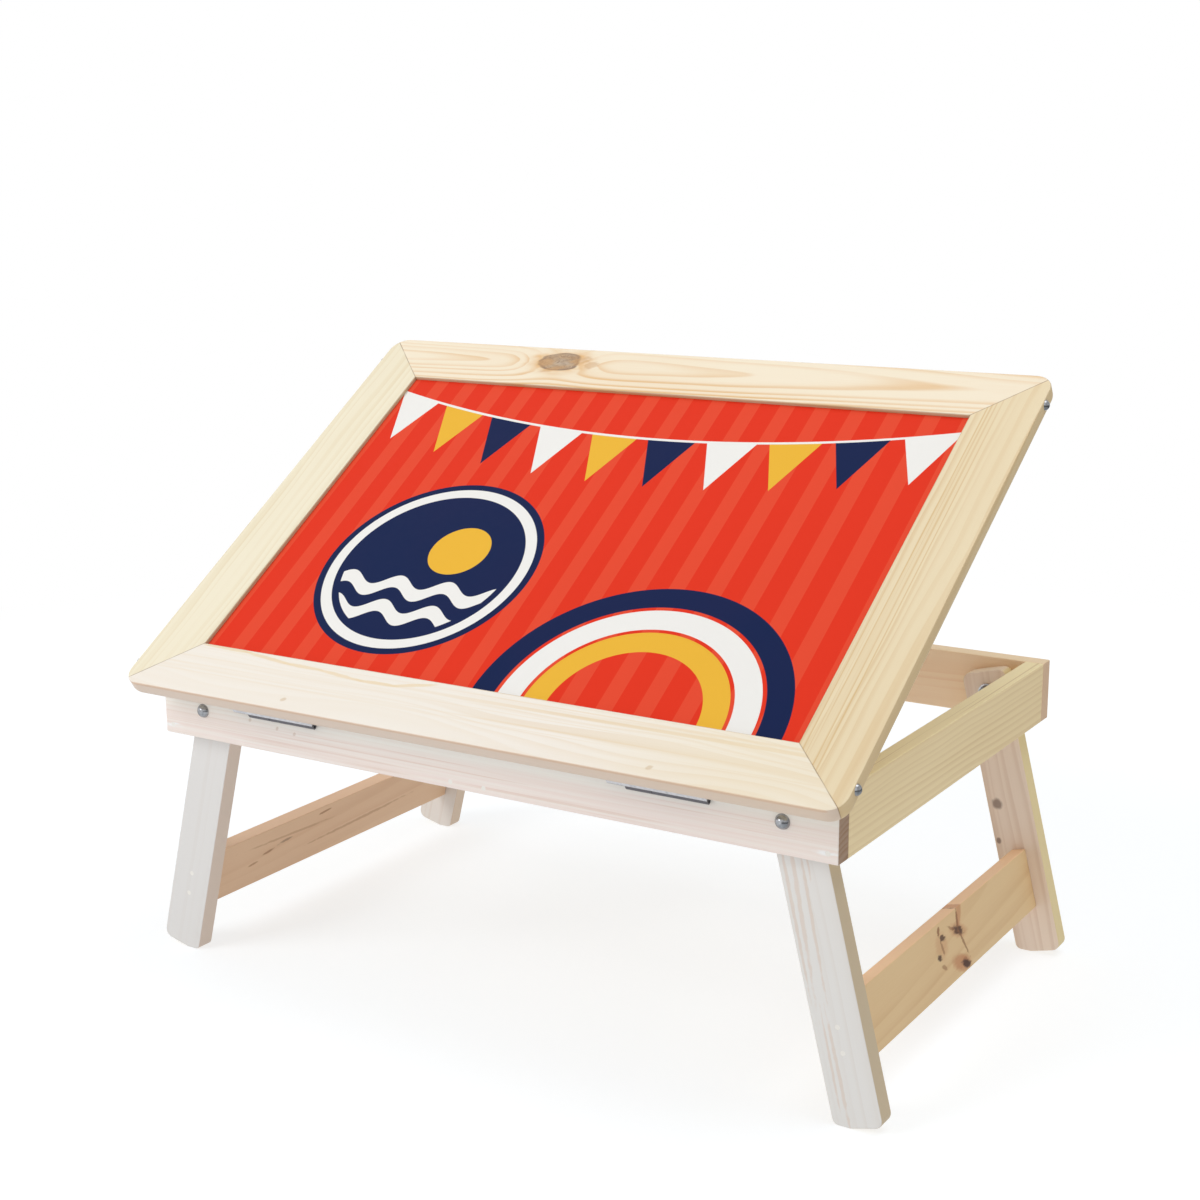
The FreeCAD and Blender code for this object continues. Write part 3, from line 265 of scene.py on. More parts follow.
class Pine:
    """One board's own pine: its node tree, its board coordinates and half of its length."""

    def __init__(self, node, grain, wide, early, late, end_wood=(150, 122, 96), **looks):
        self.tree, self.shader = new_material(node + "_pine", node)
        self.place, self.normal, self.half_length = board_place(self.tree, node, grain, wide)
        self.grain = grain
        self.wide = wide
        wood = self.tree.nodes.new("ShaderNodeGroup")
        wood.node_tree = pine_group
        self.tree.links.new(self.place, wood.inputs["Place"])
        self.tree.links.new(self.facing(grain), wood.inputs["End Grain"])
        for socket, colour in (("Early Wood", early), ("Late Wood", late), ("End Wood", end_wood)):
            wood.inputs[socket].default_value = screen(*colour)
        for look, value in looks.items():
            socket = wood.inputs[look.replace("_", " ").title()]
            socket.default_value = screen(*value) if look.endswith("colour") else value
        self.tree.links.new(wood.outputs["Colour"], self.shader.inputs["Base Color"])
        self.tree.links.new(wood.outputs["Roughness"], self.shader.inputs["Roughness"])
        add_bump(self.tree, self.shader, wood.outputs["Height"], GRAIN_BUMP, GRAIN_DEPTH)
        self.shader.inputs["Specular IOR Level"].default_value = VARNISH_SHINE

    def facing(self, way):
        """How squarely the surface faces along a direction."""
        number, vector, mix, ramp, noise = sums(self.tree)
        return number("ABSOLUTE", vector("DOT_PRODUCT", self.normal, way))

    def stain(self, mask, colour, share=1.0):
        """Lay a share of a colour over the wood where a mask says."""
        number, vector, mix, ramp, noise = sums(self.tree)
        socket = self.shader.inputs["Base Color"]
        wood = socket.links[0].from_socket
        self.tree.links.new(mix(number("MULTIPLY", mask, share), wood, screen(*colour)), socket)
        return self

    def off_ends(self):
        """A mask for all but the end grain."""
        number, vector, mix, ramp, noise = sums(self.tree)
        return ramp(self.facing(self.grain), *FACE_ONLY)

    def edges(self, share, colour):
        """Tone the narrow edge faces."""
        number, vector, mix, ramp, noise = sums(self.tree)
        return self.stain(ramp(self.facing(self.wide), *EDGE_ONLY), colour, share)

    def streaks(self, share, colour, stretch, low, high, across_from, across_to):
        """Thin coloured lines along the grain, on part of the board's width."""
        number, vector, mix, ramp, noise = sums(self.tree)
        across = axes_of(self.tree, self.place)[1]
        lines = number("MULTIPLY", ramp(noise(self.place, stretch), low, high), self.off_ends())
        inside = number("MULTIPLY", ramp(across, across_from, across_from + STREAK_FADE),
                        ramp(across, across_to, across_to - STREAK_FADE))
        return self.stain(number("MULTIPLY", lines, inside), colour, share)

    def mark(self, along, across, length, width, turn, share, colour, ragged=1.3):
        """A ragged dark mark on the board: a knot's heart, a speck or a crack."""
        number, vector, mix, ramp, noise = sums(self.tree)
        spot = self.tree.nodes.new("ShaderNodeMapping")
        spot.vector_type = "TEXTURE"
        spot.inputs["Location"].default_value = (along, across, 0)
        spot.inputs["Rotation"].default_value = (0, 0, math.radians(turn))
        spot.inputs["Scale"].default_value = (length / 2, width / 2, 1)
        self.tree.links.new(self.place, spot.inputs["Vector"])
        reach = vector("LENGTH", vector("MULTIPLY", spot.outputs[0], (1, 1, 0)))
        outline = number("MULTIPLY_ADD", noise(self.place, MARK_STRETCH), ragged, MARK_MIDDLE * ragged)
        return self.stain(ramp(number("ADD", reach, outline), *MARK_EDGE), colour, share)


half_width = (span("top_right_member", ACROSS)[1] - span("top_left_member", ACROSS)[0]) / 2
half_depth = (span("top_rear_member", UP_TOP)[1] - span("top_front_member", UP_TOP)[0]) / 2
GLUE_LINE, GLUE_SHARE, GLUE_COLOUR = (0.0008, 0.0002), 0.9, (134, 98, 66)
GLUE_STRETCH, GLUE_LEVEL = (60, 60, 60), (1.6, -0.2)
# Painted shade along the inner edges of the top's members, beside the sunken panel.
GROOVE_SHADE, INNER_SHADE_SHARE, INNER_SHADE_COLOUR = (-0.0012, -0.0002), 0.55, (158, 128, 84)


def glue_and_inner_shade(wood, half_length, inner_sign):
    """A thin dark glue line along both mitres of a member, and painted shade on its inner edge."""
    number, vector, mix, ramp, noise = sums(wood.tree)
    along, across = axes_of(wood.tree, wood.place)[:2]
    from_outer = number("MULTIPLY_ADD", across, inner_sign, MEMBER_WIDTH / 2)
    to_end = number("SUBTRACT", half_length, number("ABSOLUTE", along))
    gap = number("ABSOLUTE", number("SUBTRACT", to_end, from_outer))
    patchy = number("MULTIPLY_ADD", noise(wood.place, GLUE_STRETCH), *GLUE_LEVEL, clamp=True)
    wood.stain(number("MULTIPLY", ramp(gap, *GLUE_LINE), patchy), GLUE_COLOUR, GLUE_SHARE)
    # Painted shade: a darker band along the inner edge, where the panel sits lower.
    inner_shade_band = [MEMBER_WIDTH + place for place in GROOVE_SHADE]
    wood.stain(ramp(from_outer, *inner_shade_band), INNER_SHADE_COLOUR, INNER_SHADE_SHARE)


# The front member is plain on the left and yellower on the right, with a wavy line, two
# specks and a brown arris.
WAVY_LINE = {"width": 0.0034, "share": 0.5, "colour": (232, 204, 150), "ragged": 0.6}
WAVES = ((-0.230, 0.0231, 0.056, -1), (-0.188, 0.0205, 0.058, -6), (-0.150, 0.0179, 0.046, -1),
         (-0.1165, 0.0159, 0.048, -5), (-0.081, 0.0143, 0.046, 1), (-0.049, 0.0180, 0.044, 12))
SPECK = {"length": 0.0056, "width": 0.0042, "turn": 30, "share": 0.42, "colour": (200, 166, 116),
         "ragged": 0.8}
PLAIN_END, YELLOW_END = (0.12, -0.06), (0.06, 0.26)
ARRIS_FRONT, ARRIS_TOP = (-0.0238, -0.0245), (0.0050, 0.0062)
front_member = Pine("top_front_member", ACROSS, UP_TOP, early=(245, 238, 228), late=(228, 204, 168),
                    seed=1.3, pith=(0, -0.045, -0.03), taper=0.03, ring_spacing=0.006, wander=1.6,
                    contrast=0.58)
front_member.streaks(share=0.5, colour=(228, 198, 146), stretch=(1.5, 300, 300), low=0.48, high=0.66,
                     across_from=-0.010, across_to=0.030)
number, vector, mix, ramp, noise = sums(front_member.tree)
along, across, through = axes_of(front_member.tree, front_member.place)
front_member.stain(ramp(along, *PLAIN_END), (243, 236, 225), share=0.7)
front_member.stain(ramp(along, *YELLOW_END), (240, 225, 190), share=0.45)
for along_at, across_at, length, turn in WAVES:
    front_member.mark(along_at, across_at, length, turn=turn, **WAVY_LINE)
for along_at, across_at in ((-0.1478, -0.0148), (0.1633, -0.0163)):
    front_member.mark(along_at, across_at, **SPECK)
# Painted shade: the front member's edge faces are stained darker than its top face.
glue_and_inner_shade(front_member.edges(0.75, (206, 182, 164)), half_width, 1)
arris = number("MULTIPLY", ramp(across, *ARRIS_FRONT), ramp(through, *ARRIS_TOP))
front_member.stain(arris, (204, 158, 116), share=0.4)

# The rear member has the arched figure and the knot, in a cluster of brown flecks.
FLECK = {"turn": 20, "share": 0.5, "colour": (206, 158, 104)}
FLECKS = ((-0.1345, 0.0050, 0.017, 0.012), (-0.1020, 0.0095, 0.020, 0.010),
          (-0.0900, 0.0050, 0.014, 0.009), (-0.1240, -0.0030, 0.026, 0.006))
rear_member = Pine("top_rear_member", ACROSS, UP_TOP, early=(246, 233, 209), late=(228, 185, 128),
                   seed=5.1, pith=(0.10, 0.004, -0.013), taper=0.035, ring_spacing=0.0045, wander=0.3,
                   contrast=0.85, knot_place=(-0.1215, 0.0087, 0.0075), knot_size=0.0095,
                   knot_colour=(132, 104, 86))
for place_and_size in FLECKS:
    rear_member.mark(*place_and_size, **FLECK)
glue_and_inner_shade(rear_member.edges(0.4, (214, 180, 140)), half_width, -1)

# The side members are straight grained, the right one with brown lines on its inner half.
left_member = Pine("top_left_member", UP_TOP, ACROSS, early=(242, 233, 208), late=(222, 200, 154),
                   seed=7.7, pith=(0, -0.09, -0.02), taper=0.02, ring_spacing=0.008, wander=0.8,
                   contrast=0.42)
glue_and_inner_shade(left_member.edges(0.4, (212, 186, 140)), half_depth, 1)
right_member = Pine("top_right_member", UP_TOP, ACROSS, early=(235, 218, 183), late=(214, 180, 128),
                    seed=3.9, pith=(0, 0.05, -0.03), taper=0.03, ring_spacing=0.008, wander=1.0,
                    contrast=0.6)
right_member.streaks(share=0.55, colour=(212, 174, 114), stretch=(1.6, 520, 520), low=0.50, high=0.66,
                     across_from=-0.030, across_to=0.002)
glue_and_inner_shade(right_member.edges(0.5, (204, 172, 118)), half_depth, -1)

# The board in the top: hardboard with a printed, sealed face, let into a groove round the
# frame. The print is a plain seaside one: pennants on a line, a sun over waves in a ring
# and a rainbow, on a red ground with paler stripes. Its other faces are bare hardboard.
PRINT_SOFT = 0.00025
NO_LIMIT = -1
NAVY = screen(8, 34, 76)
PAPER = screen(243, 242, 238)
YELLOW = screen(240, 186, 62)
tree, shader = new_material("printed_board", "top_panel")
print_place = board_place(tree, "top_panel", ACROSS, UP_TOP)[0]
number, vector, mix, ramp, noise = sums(tree)
print_x, print_y, print_z = axes_of(tree, print_place)


def between(value, low, high):
    """A mask for the places where a value lies between two others."""
    above = ramp(value, low - PRINT_SOFT, low + PRINT_SOFT)
    return number("MULTIPLY", above, ramp(value, high + PRINT_SOFT, high - PRINT_SOFT))


def from_point(x, y):
    """The distance from a point of the print."""
    return vector("LENGTH", vector("MULTIPLY", vector("SUBTRACT", print_place, (x, y, 0)), (1, 1, 0)))


def cell(value, pitch):
    """A value's distance from the middle of its cell, and the cell's number."""
    turns = number("DIVIDE", value, pitch)
    offset = number("MULTIPLY", number("SUBTRACT", number("FRACT", turns), 0.5), pitch)
    return number("ABSOLUTE", offset), number("FLOOR", turns)


# The red ground with its stripes.
STRIPE_PITCH, STRIPE_WIDTH = 0.030, 0.013
stripe = between(cell(print_x, STRIPE_PITCH)[0], NO_LIMIT, STRIPE_WIDTH / 2)
picture = mix(stripe, screen(230, 56, 33), screen(233, 77, 51))

# Pennants on a sagging line along the back: navy, white and yellow in turn.
LINE_LOW, LINE_RISE, LINE_REACH = 0.112, 0.034, 0.254
LINE_TOP, LINE_FOOT = -0.002, 0.0005
PENNANT_PITCH, PENNANT_WIDTH, PENNANT_DROP = 0.052, 0.042, 0.054
COLOURS_IN_TURN, SAME = 3.0, 0.1
line_y = number("MULTIPLY_ADD", number("MULTIPLY", print_x, print_x), LINE_RISE / LINE_REACH ** 2, LINE_LOW)
below_line = number("SUBTRACT", line_y, print_y)
pennant_offset, pennant_number = cell(print_x, PENNANT_PITCH)
pennant_edge = number("MULTIPLY_ADD", below_line, PENNANT_WIDTH / 2 / PENNANT_DROP, pennant_offset)
pennant = number("MULTIPLY", between(pennant_edge, NO_LIMIT, PENNANT_WIDTH / 2),
                 between(below_line, 0, PENNANT_DROP))
place_in_turn = number("FLOORED_MODULO", pennant_number, COLOURS_IN_TURN)
pennant_colour = mix(number("COMPARE", place_in_turn, 1.0, SAME), NAVY, PAPER)
pennant_colour = mix(number("COMPARE", place_in_turn, 2.0, SAME), pennant_colour, YELLOW)
picture = mix(pennant, picture, pennant_colour)
picture = mix(between(below_line, LINE_TOP, LINE_FOOT), picture, PAPER)

# A sun over two waves in a ring, left of the middle.
RING_X, RING_Y, RING_RADIUS = -0.110, -0.052, 0.094
BAND_INNER, BAND_OUTER, SKY_RADIUS = RING_RADIUS - 0.015, RING_RADIUS - 0.006, RING_RADIUS - 0.021
SUN_X, SUN_Y, SUN_RADIUS = RING_X + 0.018, RING_Y + 0.020, 0.026
WAVE_LENGTH, WAVE_HEIGHT, WAVE_WIDTH = 0.046, 0.006, 0.013
WAVE_PLACES = (-0.032, -0.058)
from_ring = from_point(RING_X, RING_Y)
picture = mix(between(from_ring, NO_LIMIT, RING_RADIUS), picture, NAVY)
picture = mix(between(from_ring, BAND_INNER, BAND_OUTER), picture, PAPER)
sky = between(from_ring, NO_LIMIT, SKY_RADIUS)
swell = number("SINE", number("MULTIPLY", print_x, 2 * math.pi / WAVE_LENGTH))
swell = number("MULTIPLY", swell, WAVE_HEIGHT)
wave_y = number("SUBTRACT", number("SUBTRACT", print_y, RING_Y), swell)
sun = between(from_point(SUN_X, SUN_Y), NO_LIMIT, SUN_RADIUS)
picture = mix(number("MULTIPLY", sky, sun), picture, YELLOW)
for low in WAVE_PLACES:
    picture = mix(number("MULTIPLY", sky, between(wave_y, low, low + WAVE_WIDTH)), picture, PAPER)

# A rainbow that stands on the front edge, right of the middle.
BOW_X, BOW_Y, BOW_BAND = 0.118, -0.164, 0.019
from_bow = from_point(BOW_X, BOW_Y)
for outer, colour in ((0.122, NAVY), (0.100, PAPER), (0.078, YELLOW)):
    picture = mix(between(from_bow, outer - BOW_BAND, outer), picture, colour)

# The sealed face is a little uneven in tone and gloss. The other faces show their fibres.
FACE_HEIGHT = 0.0015
HARDBOARD_STRETCH, TONE_STRETCH, GLOSS_STRETCH = (420, 420, 420), (9, 9, 9), (160, 160, 160)
TONE_SHARE, GLOSS_LEVEL, SEAL_SHINE = 0.05, (0.16, 0.36), 0.06
HARDBOARD_BUMP, HARDBOARD_DEPTH = 0.05, 0.0003
face_up = number("GREATER_THAN", print_z, FACE_HEIGHT)
fibres = noise(print_place, HARDBOARD_STRETCH, detail=4.0, rough=0.7)
bare = mix(fibres, screen(128, 92, 62), screen(172, 134, 96))
tone = number("MULTIPLY", noise(print_place, TONE_STRETCH, detail=3.0), TONE_SHARE)
picture = mix(tone, picture, screen(120, 20, 16))
tree.links.new(mix(face_up, bare, picture), shader.inputs["Base Color"])
gloss = number("MULTIPLY_ADD", noise(print_place, GLOSS_STRETCH), *GLOSS_LEVEL)
tree.links.new(gloss, shader.inputs["Roughness"])
add_bump(tree, shader, fibres, HARDBOARD_BUMP, HARDBOARD_DEPTH)
shader.inputs["Specular IOR Level"].default_value = SEAL_SHINE

# Screws, bolts, washers and nuts: zinc plated steel, bright on the domed heads, with the
# dull clouds and fine scratches of plating.
CLOUDING_STRETCH, CLOUDING_EDGE = (420, 420, 420), (0.3, 0.8)
SCRATCH_STRETCH = (300, 2600, 2600)
CLOUDING_ROUGH, SCRATCH_ROUGH = 0.18, 0.08
SCRATCH_BUMP, SCRATCH_DEPTH = 0.08, 0.0002
zinc_group, zinc_in, zinc_out = new_group(
    "zinc_plate",
    [("Place", "Vector", None), ("Bright", "Color", None), ("Dull", "Color", None), ("Polish", "Float", 0.2)],
    [("Colour", "Color"), ("Roughness", "Float"), ("Height", "Float")])
number, vector, mix, ramp, noise = sums(zinc_group)
clouding = noise(zinc_in.outputs["Place"], CLOUDING_STRETCH, detail=3.0, rough=0.55)
scratches = noise(zinc_in.outputs["Place"], SCRATCH_STRETCH, detail=2.0, rough=0.7)
plating = mix(ramp(clouding, *CLOUDING_EDGE), zinc_in.outputs["Bright"], zinc_in.outputs["Dull"])
rough = number("MULTIPLY_ADD", clouding, CLOUDING_ROUGH, zinc_in.outputs["Polish"])
rough = number("MULTIPLY_ADD", scratches, SCRATCH_ROUGH, rough)
zinc_group.links.new(plating, zinc_out.inputs["Colour"])
zinc_group.links.new(rough, zinc_out.inputs["Roughness"])
zinc_group.links.new(scratches, zinc_out.inputs["Height"])


def zinc(name, bright, dull, polish, *node_names):
    """Zinc plated steel on the named nodes."""
    tree, shader = new_material(name, *node_names)
    coordinates = tree.nodes.new("ShaderNodeTexCoord")
    plate = tree.nodes.new("ShaderNodeGroup")
    plate.node_tree = zinc_group
    tree.links.new(coordinates.outputs["Object"], plate.inputs["Place"])
    plate.inputs["Bright"].default_value = screen(*bright)
    plate.inputs["Dull"].default_value = screen(*dull)
    plate.inputs["Polish"].default_value = polish
    tree.links.new(plate.outputs["Colour"], shader.inputs["Base Color"])
    tree.links.new(plate.outputs["Roughness"], shader.inputs["Roughness"])
    add_bump(tree, shader, plate.outputs["Height"], SCRATCH_BUMP, SCRATCH_DEPTH)
    shader.inputs["Metallic"].default_value = 1.0
    return tree, shader


zinc("corner_screw_zinc", (182, 184, 188), (146, 148, 152), 0.10, "corner_screws")
zinc("bolt_zinc", (176, 178, 182), (136, 137, 141), 0.10, "leg_bolts")
zinc("nut_zinc", (150, 150, 152), (112, 112, 112), 0.30, "leg_nuts")
zinc("washer_zinc", (226, 227, 230), (200, 200, 204), 0.25, "leg_washers")

# The top's hinges and the prop's hinge: pressed steel leaves with rolled knuckles, a duller
# zinc than the bolts, on plain pins and countersunk screws. The knuckles of the top's hinges
# are painted dark grey, a painted reflection of dark surroundings.
HINGE_PLACE = (0, -0.1826158, 0.2155)
BARREL_REACH, BARREL_FADE, BARREL_REFLECTION_SHARE = 0.0030, 0.0004, 0.9
tree, shader = zinc("hinge_zinc", (224, 224, 228), (198, 198, 202), 0.30, "hinge_rail_leaf_left",
                    "hinge_rail_leaf_right", "hinge_top_leaf_left", "hinge_top_leaf_right")
number, vector, mix, ramp, noise = sums(tree)
coordinates = tree.nodes.new("ShaderNodeTexCoord")
from_axis = vector("MULTIPLY", vector("SUBTRACT", coordinates.outputs["Object"], HINGE_PLACE), (0, 1, 1))
# Painted reflection: the knuckles round the hinge axis are stained dark grey.
painted_reflection = ramp(vector("LENGTH", from_axis), BARREL_REACH + BARREL_FADE, BARREL_REACH)
leaf_zinc = shader.inputs["Base Color"].links[0].from_socket
zinc_with_reflection = mix(number("MULTIPLY", painted_reflection, BARREL_REFLECTION_SHARE), leaf_zinc, screen(92, 90, 96))
tree.links.new(zinc_with_reflection, shader.inputs["Base Color"])
zinc("prop_hinge_zinc", (206, 206, 210), (176, 176, 180), 0.30, "prop_hinge_batten_leaf",
     "prop_hinge_prop_leaf")
zinc("hinge_pin_steel", (92, 92, 96), (58, 58, 60), 0.38, "hinge_pin_left", "hinge_pin_right",
     "prop_hinge_pin")
zinc("wood_screw_zinc", (186, 178, 150), (138, 128, 98), 0.28, "hinge_rail_screws", "hinge_top_screws",
     "batten_screws", "prop_hinge_batten_screws", "prop_hinge_prop_screws")

# The base frame: four pine rails on edge, the front and rear ones running past the sides,
# nailed at the corners, and a slat from front to back. Whitish wood in front with a pinker
# lower band, yellower sides and dark end grain.
UP = Vector((0, 0, 1))
BACK = Vector((0, 1, 0))
BAND_STRETCH, BAND_LEVEL, BAND_EDGE = (5, 40, 40), (0.014, -0.008), (0.003, -0.004)
BAND_LINES, BAND_LINE_SHARE = (4, 420, 420), 0.9
RAIL_SPECK = {"length": 0.0038, "width": 0.0028, "turn": 50, "share": 0.35, "colour": (178, 142, 114),
              "ragged": 0.8}
front_rail = Pine("front_rail", ACROSS, UP, early=(244, 240, 234), late=(230, 214, 200),
                  end_wood=(146, 105, 66), seed=2.2, pith=(0, -0.09, -0.01), taper=0.02,
                  ring_spacing=0.0045, contrast=0.5)
number, vector, mix, ramp, noise = sums(front_rail.tree)
rail_height = axes_of(front_rail.tree, front_rail.place)[1]
band_top = number("MULTIPLY_ADD", noise(front_rail.place, BAND_STRETCH), *BAND_LEVEL)
band = ramp(number("SUBTRACT", rail_height, band_top), *BAND_EDGE)
band_lines = number("MULTIPLY", noise(front_rail.place, BAND_LINES), BAND_LINE_SHARE, clamp=True)
band = number("MULTIPLY", number("MULTIPLY", band, front_rail.off_ends()), band_lines)
front_rail.stain(band, (234, 213, 205))
front_rail.streaks(share=0.36, colour=(212, 176, 156), stretch=(5, 640, 640), low=0.54, high=0.70,
                   across_from=-0.026, across_to=0.0)
for along_at, across_at in ((-0.2024, -0.0015), (-0.1755, -0.0042), (-0.1587, -0.0061)):
    front_rail.mark(along_at, across_at, **RAIL_SPECK)
rear_rail = Pine("rear_rail", ACROSS, UP, early=(252, 224, 190), late=(236, 186, 142),
                 end_wood=(212, 178, 146), seed=8.4, pith=(0, 0.05, -0.04), taper=0.03,
                 ring_spacing=0.007, contrast=0.5)
rear_rail.edges(0.5, (248, 228, 186))
left_rail = Pine("left_side_rail", BACK, UP, early=(242, 224, 186), late=(222, 190, 142), seed=4.5,
                 pith=(0, 0.06, -0.02), ring_spacing=0.008)
# Painted light: the left rail's top and bottom edges are stained paler than its wood.
left_rail.edges(0.6, (250, 232, 188))
right_rail = Pine("right_side_rail", BACK, UP, early=(242, 220, 174), late=(214, 180, 126), seed=6.6,
                  pith=(0, -0.06, -0.02), taper=0.02, ring_spacing=0.0045, contrast=0.6)
# Painted light: the right rail's top and bottom edges are stained paler than its wood.
right_rail.edges(0.85, (255, 240, 190))
right_rail.streaks(share=0.5, colour=(196, 160, 104), stretch=(3, 520, 520), low=0.56, high=0.7,
                   across_from=0.018, across_to=0.03)
Pine("centre_slat", BACK, ACROSS, early=(238, 216, 182), late=(214, 178, 134), seed=9.3)

# The finishing nails: steel, punched just under the face and filled with white filler,
# some of it smeared on the front rail beside the lower corner nails.
GRIT_STRETCH, GRIT_ROUGH = (1800, 1800, 1800), (0.2, 0.6)
NAIL_FROM_END, NAIL_HEIGHT = 0.0075, -0.017
SMEAR_STRETCH, SMEAR_EDGE = (0.2, 1, 0), (0.0026, 0.0008)
SMEAR_GAPS, SMEAR_GAP_EDGE = (120, 500, 500), (0.35, 0.6)
tree, shader = new_material("nail_filler", "frame_nails", "left_leg_nails", "right_leg_nails")
coordinates = tree.nodes.new("ShaderNodeTexCoord")
number, vector, mix, ramp, noise = sums(tree)
grit = noise(coordinates.outputs["Object"], GRIT_STRETCH, detail=3.0, rough=0.7)
tree.links.new(mix(grit, screen(248, 246, 242), screen(224, 218, 208)), shader.inputs["Base Color"])
tree.links.new(number("MULTIPLY_ADD", grit, *GRIT_ROUGH), shader.inputs["Roughness"])
number, vector, mix, ramp, noise = sums(front_rail.tree)
for sign in (-1, 1):
    nail_place = (sign * (front_rail.half_length - NAIL_FROM_END), NAIL_HEIGHT, 0)
    from_nail = vector("MULTIPLY", vector("SUBTRACT", front_rail.place, nail_place), SMEAR_STRETCH)
    smear = ramp(vector("LENGTH", from_nail), *SMEAR_EDGE)
    smear = number("MULTIPLY", smear, ramp(noise(front_rail.place, SMEAR_GAPS), *SMEAR_GAP_EDGE))
    front_rail.stain(number("MULTIPLY", smear, front_rail.off_ends()), (242, 241, 240))

# The leg frames: two legs and a stretcher each, of the same pine, nailed together. The
# legs are pale and grey with faint straight lines, the stretchers warmer and knotty. Lines,
# knots and marks are given by place along and across, length, width and turn in degrees.
SPLAY = math.radians(14)
LEG_SEED, STRETCHER_SEED, REAR_SEED_STEP = 11.0, 15.0, 2.9
LEG_LOOKS = {
    "left_front_leg": {"early": (223, 220, 217), "late": (212, 204, 197), "contrast": 0.3},
    "right_front_leg": {"early": (227, 224, 220), "late": (214, 204, 194), "contrast": 0.4},
    "left_rear_leg": {"early": (226, 219, 212), "late": (210, 194, 180), "contrast": 0.4},
    "right_rear_leg": {"early": (240, 220, 201), "late": (210, 178, 153), "contrast": 0.5},
}
LEG_EDGES = {"left_front_leg": (216, 192, 172), "right_front_leg": (196, 168, 116),
             "left_rear_leg": (214, 186, 156), "right_rear_leg": (232, 212, 142)}
LEG_LINE = {"share": 0.28, "colour": (208, 168, 134)}
LEG_LINES = {
    "right_front_leg": [(0.036, -0.0145, 0.130, 0.0026, 1), (0.044, -0.0085, 0.140, 0.0034, 3),
                        (0.030, -0.0020, 0.110, 0.0026, 2), (-0.078, -0.0062, 0.090, 0.0028, 0),
                        (-0.070, -0.0105, 0.070, 0.0020, 1), (0.085, 0.0040, 0.060, 0.0020, 2)],
}
LEG_KNOT = {"share": 0.75, "colour": (120, 96, 84), "ragged": 0.5}
LEG_KNOTS = {
    "right_rear_leg": [(0.0077, -0.0103, 0.0105, 0.0095, 0), (-0.0228, -0.0150, 0.0060, 0.0045, 0)],
}
STRETCHER_LOOKS = {
    "left": {"early": (223, 188, 155), "late": (200, 154, 118)},
    "right": {"early": (232, 200, 152), "late": (210, 166, 114), "knot_place": (0.0164, -0.0157, 0.006),
              "knot_size": 0.0030, "knot_colour": (112, 66, 40)},
}
STRETCHER_EDGES = {"left": (255, 220, 190), "right": (255, 214, 174)}
BROWN, RUST, BARK = (150, 100, 62), (196, 128, 84), (78, 46, 34)
SOFT = 0.5
STRETCHER_MARKS = {
    "right": [(0.0110, -0.0155, 0.036, 0.014, -20, 0.7, RUST, SOFT),
              (0.0150, 0.0080, 0.034, 0.012, -20, 0.5, RUST, SOFT),
              (-0.0175, 0.0070, 0.022, 0.024, 70, 0.3, RUST, SOFT),
              (0.0210, 0.0200, 0.026, 0.010, 60, 0.6, RUST, SOFT),
              (0.0175, -0.0185, 0.017, 0.0066, -20, 0.95, BARK),
              (0.0143, 0.0083, 0.020, 0.0068, -22, 0.9, BARK),
              (0.0162, 0.0165, 0.020, 0.0036, 78, 0.8, BROWN),
              (0.0205, -0.0035, 0.024, 0.0030, 115, 0.75, BROWN),
              (0.0040, 0.0130, 0.016, 0.0026, -30, 0.6, BROWN),
              (-0.0139, 0.0117, 0.010, 0.0050, -20, 0.85, BARK),
              (-0.0185, 0.0180, 0.008, 0.0046, 60, 0.85, BROWN),
              (-0.0243, 0.0004, 0.009, 0.0050, -20, 0.9, BARK),
              (-0.0165, 0.0050, 0.012, 0.0036, 105, 0.6, BROWN),
              (-0.0190, -0.0088, 0.009, 0.0040, -30, 0.6, BROWN)],
    "left": [(0.030, -0.006, 0.140, 0.0030, 2, 0.4, BROWN),
             (-0.060, 0.010, 0.110, 0.0024, -2, 0.35, BROWN),
             (-0.023, 0.0180, 0.018, 0.0026, 4, 0.7, BROWN),
             (-0.072, 0.0060, 0.018, 0.0026, 6, 0.45, BARK),
             (-0.094, 0.0020, 0.016, 0.0026, 8, 0.7, BROWN),
             (-0.112, -0.0040, 0.014, 0.0026, 6, 0.6, BROWN)],
}
for side, sign in (("left", -1), ("right", 1)):
    up_leg = Vector((-sign * math.sin(SPLAY), 0, math.cos(SPLAY)))
    across_leg = Vector((math.cos(SPLAY), 0, sign * math.sin(SPLAY)))
    for end, seed_step in (("front", 0.0), ("rear", REAR_SEED_STEP)):
        leg = f"{side}_{end}_leg"
        wood = Pine(leg, up_leg, across_leg, end_wood=(226, 206, 178), seed=LEG_SEED + sign + seed_step,
                    pith=(0, -0.06, -0.01), taper=0.01, ring_spacing=0.009, wander=0.5, **LEG_LOOKS[leg])
        wood.edges(0.7, LEG_EDGES[leg])
        for line in LEG_LINES.get(leg, ()):
            wood.mark(*line, **LEG_LINE)
        for knot in LEG_KNOTS.get(leg, ()):
            wood.mark(*knot, **LEG_KNOT)
    wood = Pine(side + "_stretcher", BACK, up_leg, seed=STRETCHER_SEED + sign, pith=(0, 0.03, -0.05),
                taper=0.05, ring_spacing=0.009, contrast=0.45, **STRETCHER_LOOKS[side])
    wood.edges(0.85, STRETCHER_EDGES[side])
    for mark in STRETCHER_MARKS[side]:
        wood.mark(*mark)

